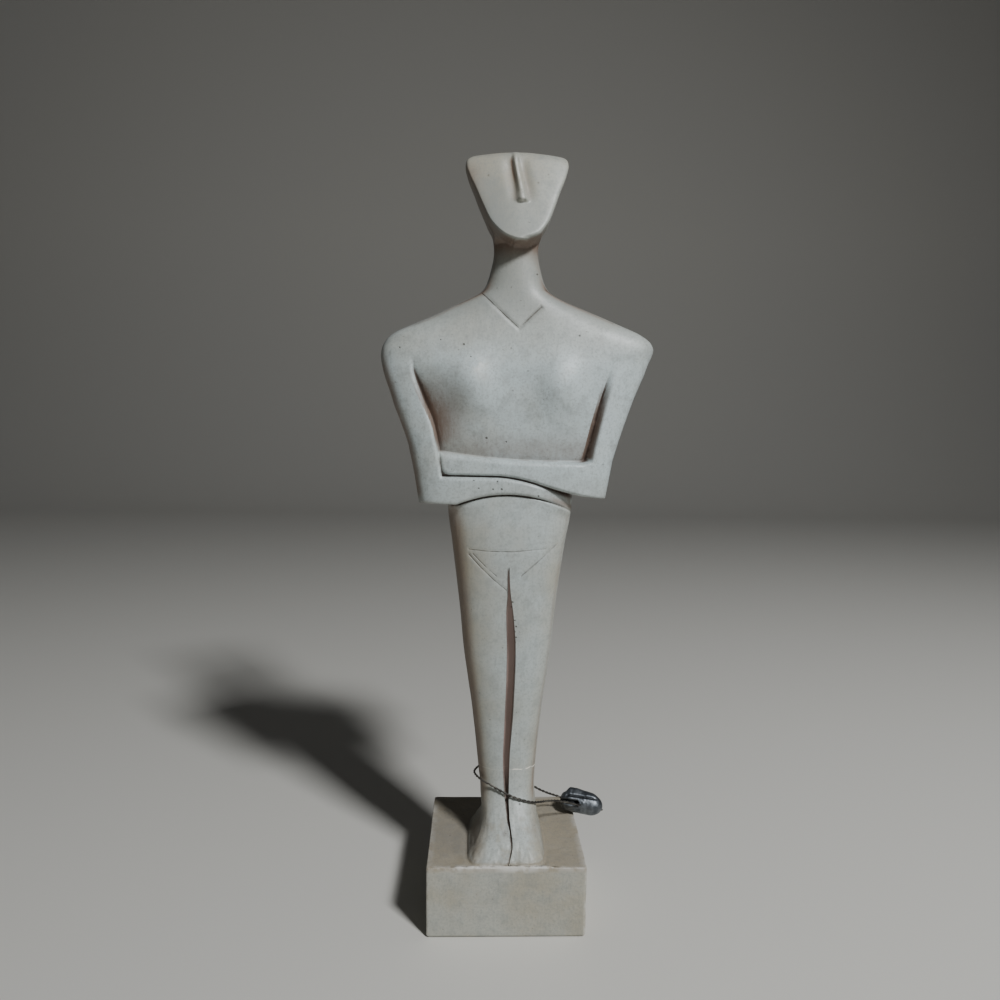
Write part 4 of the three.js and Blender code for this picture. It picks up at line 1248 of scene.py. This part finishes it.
def seal_form(sizes):
    """A capsule of rings along X whose radius also varies round it, and how deep it is cut, from 0 to 1.

    The angle round it starts at the top and grows towards the front. A folded ridge stands along the top, and
    two creases follow it. A slot runs into the left front and ends in the wire's hole. A soft dent and lumps
    from the press break the round. The left end is crumpled and the right one nearly smooth.
    """
    x = sizes.seal_length / 2 * np.sin(np.linspace(-1, 1, SEAL_RINGS)[:, None] * math.pi / 2)
    around = np.linspace(0, 2 * math.pi, SEAL_COLUMNS, endpoint=False)[None, :]
    angle = (around + math.pi) % (2 * math.pi) - math.pi
    end = np.where(x > 0, SEAL_SMOOTH_END, SEAL_END)
    past = np.maximum(0, np.abs(x) - (sizes.seal_length / 2 - end)) / end
    body = sizes.seal_radius * np.sqrt(np.maximum(0, 1 - past ** 2))

    folded = smoothstep(-7.6 * MM, -5.6 * MM, x) * smoothstep(7.2 * MM, 4.2 * MM, x)
    ridge = RIDGE_HEIGHT * bump(angle + 0.28, 0.4) * folded * mix(1, 0.35, smoothstep(-4 * MM, 5 * MM, x))
    crease = bump(angle - 0.5 + 0.02 * x / MM, 0.13) + 0.6 * bump(angle + 1.05, 0.13)
    crease = -CREASE_DEPTH * crease * folded
    off_slot = angle - SLOT_ANGLE + 0.012 * (x - SLOT_START) / MM
    slotted = smoothstep(-9.4 * MM, -8.6 * MM, x) * smoothstep(-1.2 * MM, HOLE_AT, x)
    slot = -SLOT_DEPTH * np.exp(-((off_slot / 0.24) ** 4)) * slotted
    hole = -HOLE_DEPTH * np.exp(-((((x - HOLE_AT) / HOLE_HALF) ** 2 + (off_slot / 0.17) ** 2) ** 2))
    dent = -DENT_DEPTH * bump(x - 3.5 * MM, 2.6 * MM) * bump(angle - 1.0, 0.5)

    round_form = np.stack(np.broadcast_arrays(x, 4 * MM * np.sin(angle), 4 * MM * np.cos(angle)), -1)
    lumps = 0.16 * MM * value_noise(round_form, 2.6 * MM, 11)
    lumps = lumps + 0.09 * MM * value_noise(round_form, 0.9 * MM, 12)
    lumps = lumps * (1 - 0.75 * smoothstep(1.5 * MM, 4.5 * MM, x))
    crumple = CRUMPLE * value_noise(round_form, 1.5 * MM, 13) * smoothstep(-5.6 * MM, -7.6 * MM, x)
    relief = ridge + crease + slot + hole + dent + lumps + crumple
    radius = np.maximum(body + relief * body / sizes.seal_radius, 0)
    cut = clamp01(-(crease * 1.6 + slot + hole + 0.8 * np.minimum(crumple, 0)) / (0.9 * MM))
    points = np.stack([np.broadcast_to(x, radius.shape), -radius * np.sin(angle), radius * np.cos(angle)], -1)
    return points, cut


def make_seal(colours, sizes):
    """The seal's form, moved from its own axes to its place beside the ankles."""
    points, cut = seal_form(sizes)
    place = np.array(seal_place(sizes))
    points = points @ place[:3, :3].T + place[:3, 3]
    mesh = smooth_mesh("lead_seal_crimped", [closed_surface(points)])
    add_attribute(mesh, "cut", cut)
    return add_piece("lead_seal_crimped", mesh, soft_lead(colours), "lead_seal")


# Stage: camera, floor and lights

FOCAL_PIXELS = 775
FRAME_PIXELS = 1000
SENSOR = 36.0
CAMERA_PLACE = (-12.92 * MM, -307.5 * MM, 194.1 * MM)
CAMERA_YAW = 1.71
CAMERA_PITCH = 5.373
CAMERA_ROLL = -0.812
LIGHT_AIM = (0, 0, 0.17)
FLOOR_HALF = 8.0
FLOOR_FRONT = -8.0
FLOOR_BACK = 1.4
FLOOR_TURN = 0.8
FLOOR_TOP = 2.6
SKY_STRENGTH = 0.035

# Each light's name, degrees to the viewer's right and up, metres away, size, watts and colour
LIGHTS = [
    ("key", 35, 42, 1.2, 0.17, 16.0, "#F6F9FB"),
    ("fill", -20, 8, 1.8, 1.0, 0.2, "#FFEBD0"),
]


def make_camera():
    """The camera where the block's corners put the photo's: turned by the yaw, then dipped, then rolled."""
    yaw, pitch, roll = (math.radians(a) for a in (CAMERA_YAW, CAMERA_PITCH, CAMERA_ROLL))
    forward = Vector((math.sin(yaw) * math.cos(pitch), math.cos(yaw) * math.cos(pitch), -math.sin(pitch)))
    level_right = Vector((math.cos(yaw), -math.sin(yaw), 0))
    level_down = forward.cross(level_right)
    right = math.cos(roll) * level_right + math.sin(roll) * level_down
    down = -math.sin(roll) * level_right + math.cos(roll) * level_down
    camera = bpy.data.objects.new("camera", bpy.data.cameras.new("camera"))
    turned = Matrix((right, -down, -forward)).transposed().to_4x4()
    camera.matrix_world = Matrix.Translation(CAMERA_PLACE) @ turned
    camera.data.sensor_width = SENSOR
    camera.data.lens = FOCAL_PIXELS / FRAME_PIXELS * SENSOR
    camera.data.clip_start = 0.01
    bpy.context.scene.collection.objects.link(camera)
    bpy.context.scene.camera = camera


def add_light(name, azimuth, elevation, distance, size, power, colour):
    """A square soft light that faces the figure's middle, turned by azimuth to the viewer's right."""
    light = bpy.data.lights.new(name, "AREA")
    light.size = size
    light.energy = power
    light.color = linear(colour)[:3]
    a, e = math.radians(azimuth), math.radians(elevation)
    out = Vector((math.sin(a) * math.cos(e), -math.cos(a) * math.cos(e), math.sin(e)))
    lamp = bpy.data.objects.new(name, light)
    lamp.location = Vector(LIGHT_AIM) + out * distance
    lamp.rotation_mode = "QUATERNION"
    lamp.rotation_quaternion = out.to_track_quat("Z", "Y")
    bpy.context.scene.collection.objects.link(lamp)


def make_floor(colours):
    """A plain floor that rises far behind the object in a quarter circle, as a paper sweep does."""
    turn = np.linspace(0, math.pi / 2, 17)
    y = np.concatenate([[FLOOR_FRONT, 0], FLOOR_BACK + FLOOR_TURN * np.sin(turn), [FLOOR_BACK + FLOOR_TURN]])
    z = np.concatenate([[0, 0], FLOOR_TURN * (1 - np.cos(turn)), [FLOOR_TOP]])
    x = np.array([-FLOOR_HALF, FLOOR_HALF])
    verts = np.stack(np.broadcast_arrays(x, y[:, None], z[:, None]), -1).reshape(-1, 3)
    faces = 2 * np.arange(len(y) - 1)[:, None] + [0, 1, 3, 2]
    mesh = bpy.data.meshes.new("floor_sweep")
    mesh.from_pydata(verts.tolist(), [], faces.tolist())
    mesh.polygons.foreach_set("use_smooth", np.ones(len(mesh.polygons), bool))
    material, _, shader = new_material("paper_sweep")
    shader.inputs["Base Color"].default_value = linear(colours.floor)
    shader.inputs["Roughness"].default_value = 0.85
    mesh.materials.append(material)
    floor = bpy.data.objects.new("floor_sweep", mesh)
    bpy.context.scene.collection.objects.link(floor)


def make_world(colours):
    """A faint light from all round."""
    world = bpy.data.worlds.new("studio")
    world.use_nodes = True
    background = world.node_tree.nodes["Background"]
    background.inputs[0].default_value = linear(colours.sky)
    background.inputs[1].default_value = SKY_STRENGTH
    bpy.context.scene.world = world


# Add-on

def colour_property(name, description, default):
    """An sRGB hex colour."""
    return bpy.props.StringProperty(name=name, description=description, default=default)


class FigurineColours(bpy.types.PropertyGroup):
    """Colours of the finishes, as sRGB hex values."""

    stone: colour_property("Stone", "Cast stone where it is wiped clean", "#C0CBCC")
    # The veil's colour is also painted shade on the sides away from the light, and the chin's painted shadow
    veil: colour_property("Veil", "Thin veil of wash on the stone", "#ADA48F")
    # The grain's grey is also the colour of the painted shade
    grain: colour_property("Grain", "Darker grains in the stone", "#898D8A")
    # The wash's brown also colours painted shade by the chest, the face, the nose, the forearms and the left
    # sides
    wash: colour_property("Wash", "Brown wash left in wide hollows", "#7D6656")
    # Painted pale on the block's edges, and the colour of the painted highlights on the nose and the mounds
    worn: colour_property("Worn edges", "Stone rubbed pale", "#E6E5DE")
    cleft: colour_property("Cleft", "Purple-brown wash in the cleft", "#B89F97")
    # Also painted shadow under the chin, in the slit and under the forearms' seam
    deep_wash: colour_property("Deep wash", "Wash in narrow grooves", "#4A3A31")
    pit: colour_property("Pits", "Air bubble pits", "#4A433A")
    glue: colour_property("Glue", "Line of glue on the mended ankles", "#E6E2D6")
    lead: colour_property("Lead", "Pressed lead", "#7C8085")
    lead_oxide: colour_property("Lead oxide", "Dull skin on the lead", "#575B60")
    # The near-black of the painted shade in the seal's cuts
    lead_cut_shade: colour_property("Lead dirt", "Dirt in the seal's cuts", "#1E2022")
    wire: colour_property("Wire", "Dulled wire", "#4A4744")
    wire_worn: colour_property("Worn wire", "Wire where it is worn bright", "#77736C")
    floor: colour_property("Floor", "Paper sweep", "#DAD7D0")
    sky: colour_property("Fill", "Soft light from all round", "#E9EDF2")


def length_property(name, description, default):
    """A length in metres that is shown in the scene's own unit."""
    return bpy.props.FloatProperty(
        name=name, description=description, default=default, min=0, unit="LENGTH", precision=5, step=0.01,
    )


class FigurineSizes(bpy.types.PropertyGroup):
    """Sizes of the finer forms, which the builders read. The body's own sizes come from the CAD's box."""

    block_foot_round: length_property("Block's foot", "Rounding along the block's foot", 1.3 * MM)
    block_top_round: length_property("Block's top", "Rounding along the block's top edge", 0.6 * MM)
    block_corner_round: length_property("Block's corners", "Rounding of the upright corners", 1.1 * MM)
    hand_finish: length_property("Hand finish", "Depth of the swells that hands leave", 0.14 * MM)
    toe_burr: length_property("Toe burr", "Height of the ridge before the toes", 0.6 * MM)
    wire_diameter: length_property("Wire", "Width of the two twisted strands together", 0.9 * MM)
    twist_length: length_property("Twist", "Length of one turn of the strands", 4.2 * MM)
    seal_length: length_property("Seal's length", "Length of the crimped seal", 18.4 * MM)
    seal_radius: length_property("Seal's radius", "Radius of the seal's round body", 4.4 * MM)


class OBJECT_OT_figurine(bpy.types.Operator):
    """Make the cast figure with its block"""

    bl_idname = "object.make_figurine"
    bl_label = "Figurine"

    def execute(self, context):
        make_figurine(context.scene.figurine_colours, context.scene.figurine_sizes)
        return {"FINISHED"}


class OBJECT_OT_seal(bpy.types.Operator):
    """Make the crimped lead seal"""

    bl_idname = "object.make_seal"
    bl_label = "Seal"

    def execute(self, context):
        make_seal(context.scene.figurine_colours, context.scene.figurine_sizes)
        return {"FINISHED"}


class OBJECT_OT_wire(bpy.types.Operator):
    """Make the twisted wire that the seal is crimped on"""

    bl_idname = "object.make_wire"
    bl_label = "Wire"

    def execute(self, context):
        make_wire(context.scene.figurine_colours, context.scene.figurine_sizes)
        return {"FINISHED"}


class OBJECT_OT_stage(bpy.types.Operator):
    """Make the camera, the floor and the lights"""

    bl_idname = "object.make_stage"
    bl_label = "Stage"

    def execute(self, context):
        colours = context.scene.figurine_colours
        make_camera()
        make_floor(colours)
        make_world(colours)
        for light in LIGHTS:
            add_light(*light)
        return {"FINISHED"}


class VIEW3D_PT_figurine(bpy.types.Panel):
    """Lists the figurine's operators, sizes and colours"""

    bl_label = "Figurine"
    bl_idname = "VIEW3D_PT_figurine"
    bl_space_type = "VIEW_3D"
    bl_region_type = "UI"
    bl_category = "Figurine"

    def draw(self, context):
        for operator in OPERATORS:
            self.layout.operator(operator.bl_idname)
        for name in FigurineSizes.__annotations__:
            self.layout.prop(context.scene.figurine_sizes, name)
        for name in FigurineColours.__annotations__:
            self.layout.prop(context.scene.figurine_colours, name)


OPERATORS = (OBJECT_OT_stage, OBJECT_OT_seal, OBJECT_OT_wire, OBJECT_OT_figurine)
CLASSES = (FigurineSizes, FigurineColours, *OPERATORS, VIEW3D_PT_figurine)


def register():
    """Registers the classes, and puts the sizes and colours in the scene."""
    for cls in CLASSES:
        bpy.utils.register_class(cls)
    bpy.types.Scene.figurine_sizes = bpy.props.PointerProperty(type=FigurineSizes)
    bpy.types.Scene.figurine_colours = bpy.props.PointerProperty(type=FigurineColours)


def unregister():
    """Takes them out again, last first."""
    del bpy.types.Scene.figurine_colours
    del bpy.types.Scene.figurine_sizes
    for cls in reversed(CLASSES):
        bpy.utils.unregister_class(cls)


def main():
    """Makes everything by the operators."""
    register()
    bpy.ops.object.make_stage()
    bpy.ops.object.make_seal()
    bpy.ops.object.make_wire()
    bpy.ops.object.make_figurine()


if __name__ == "__main__":
    main()
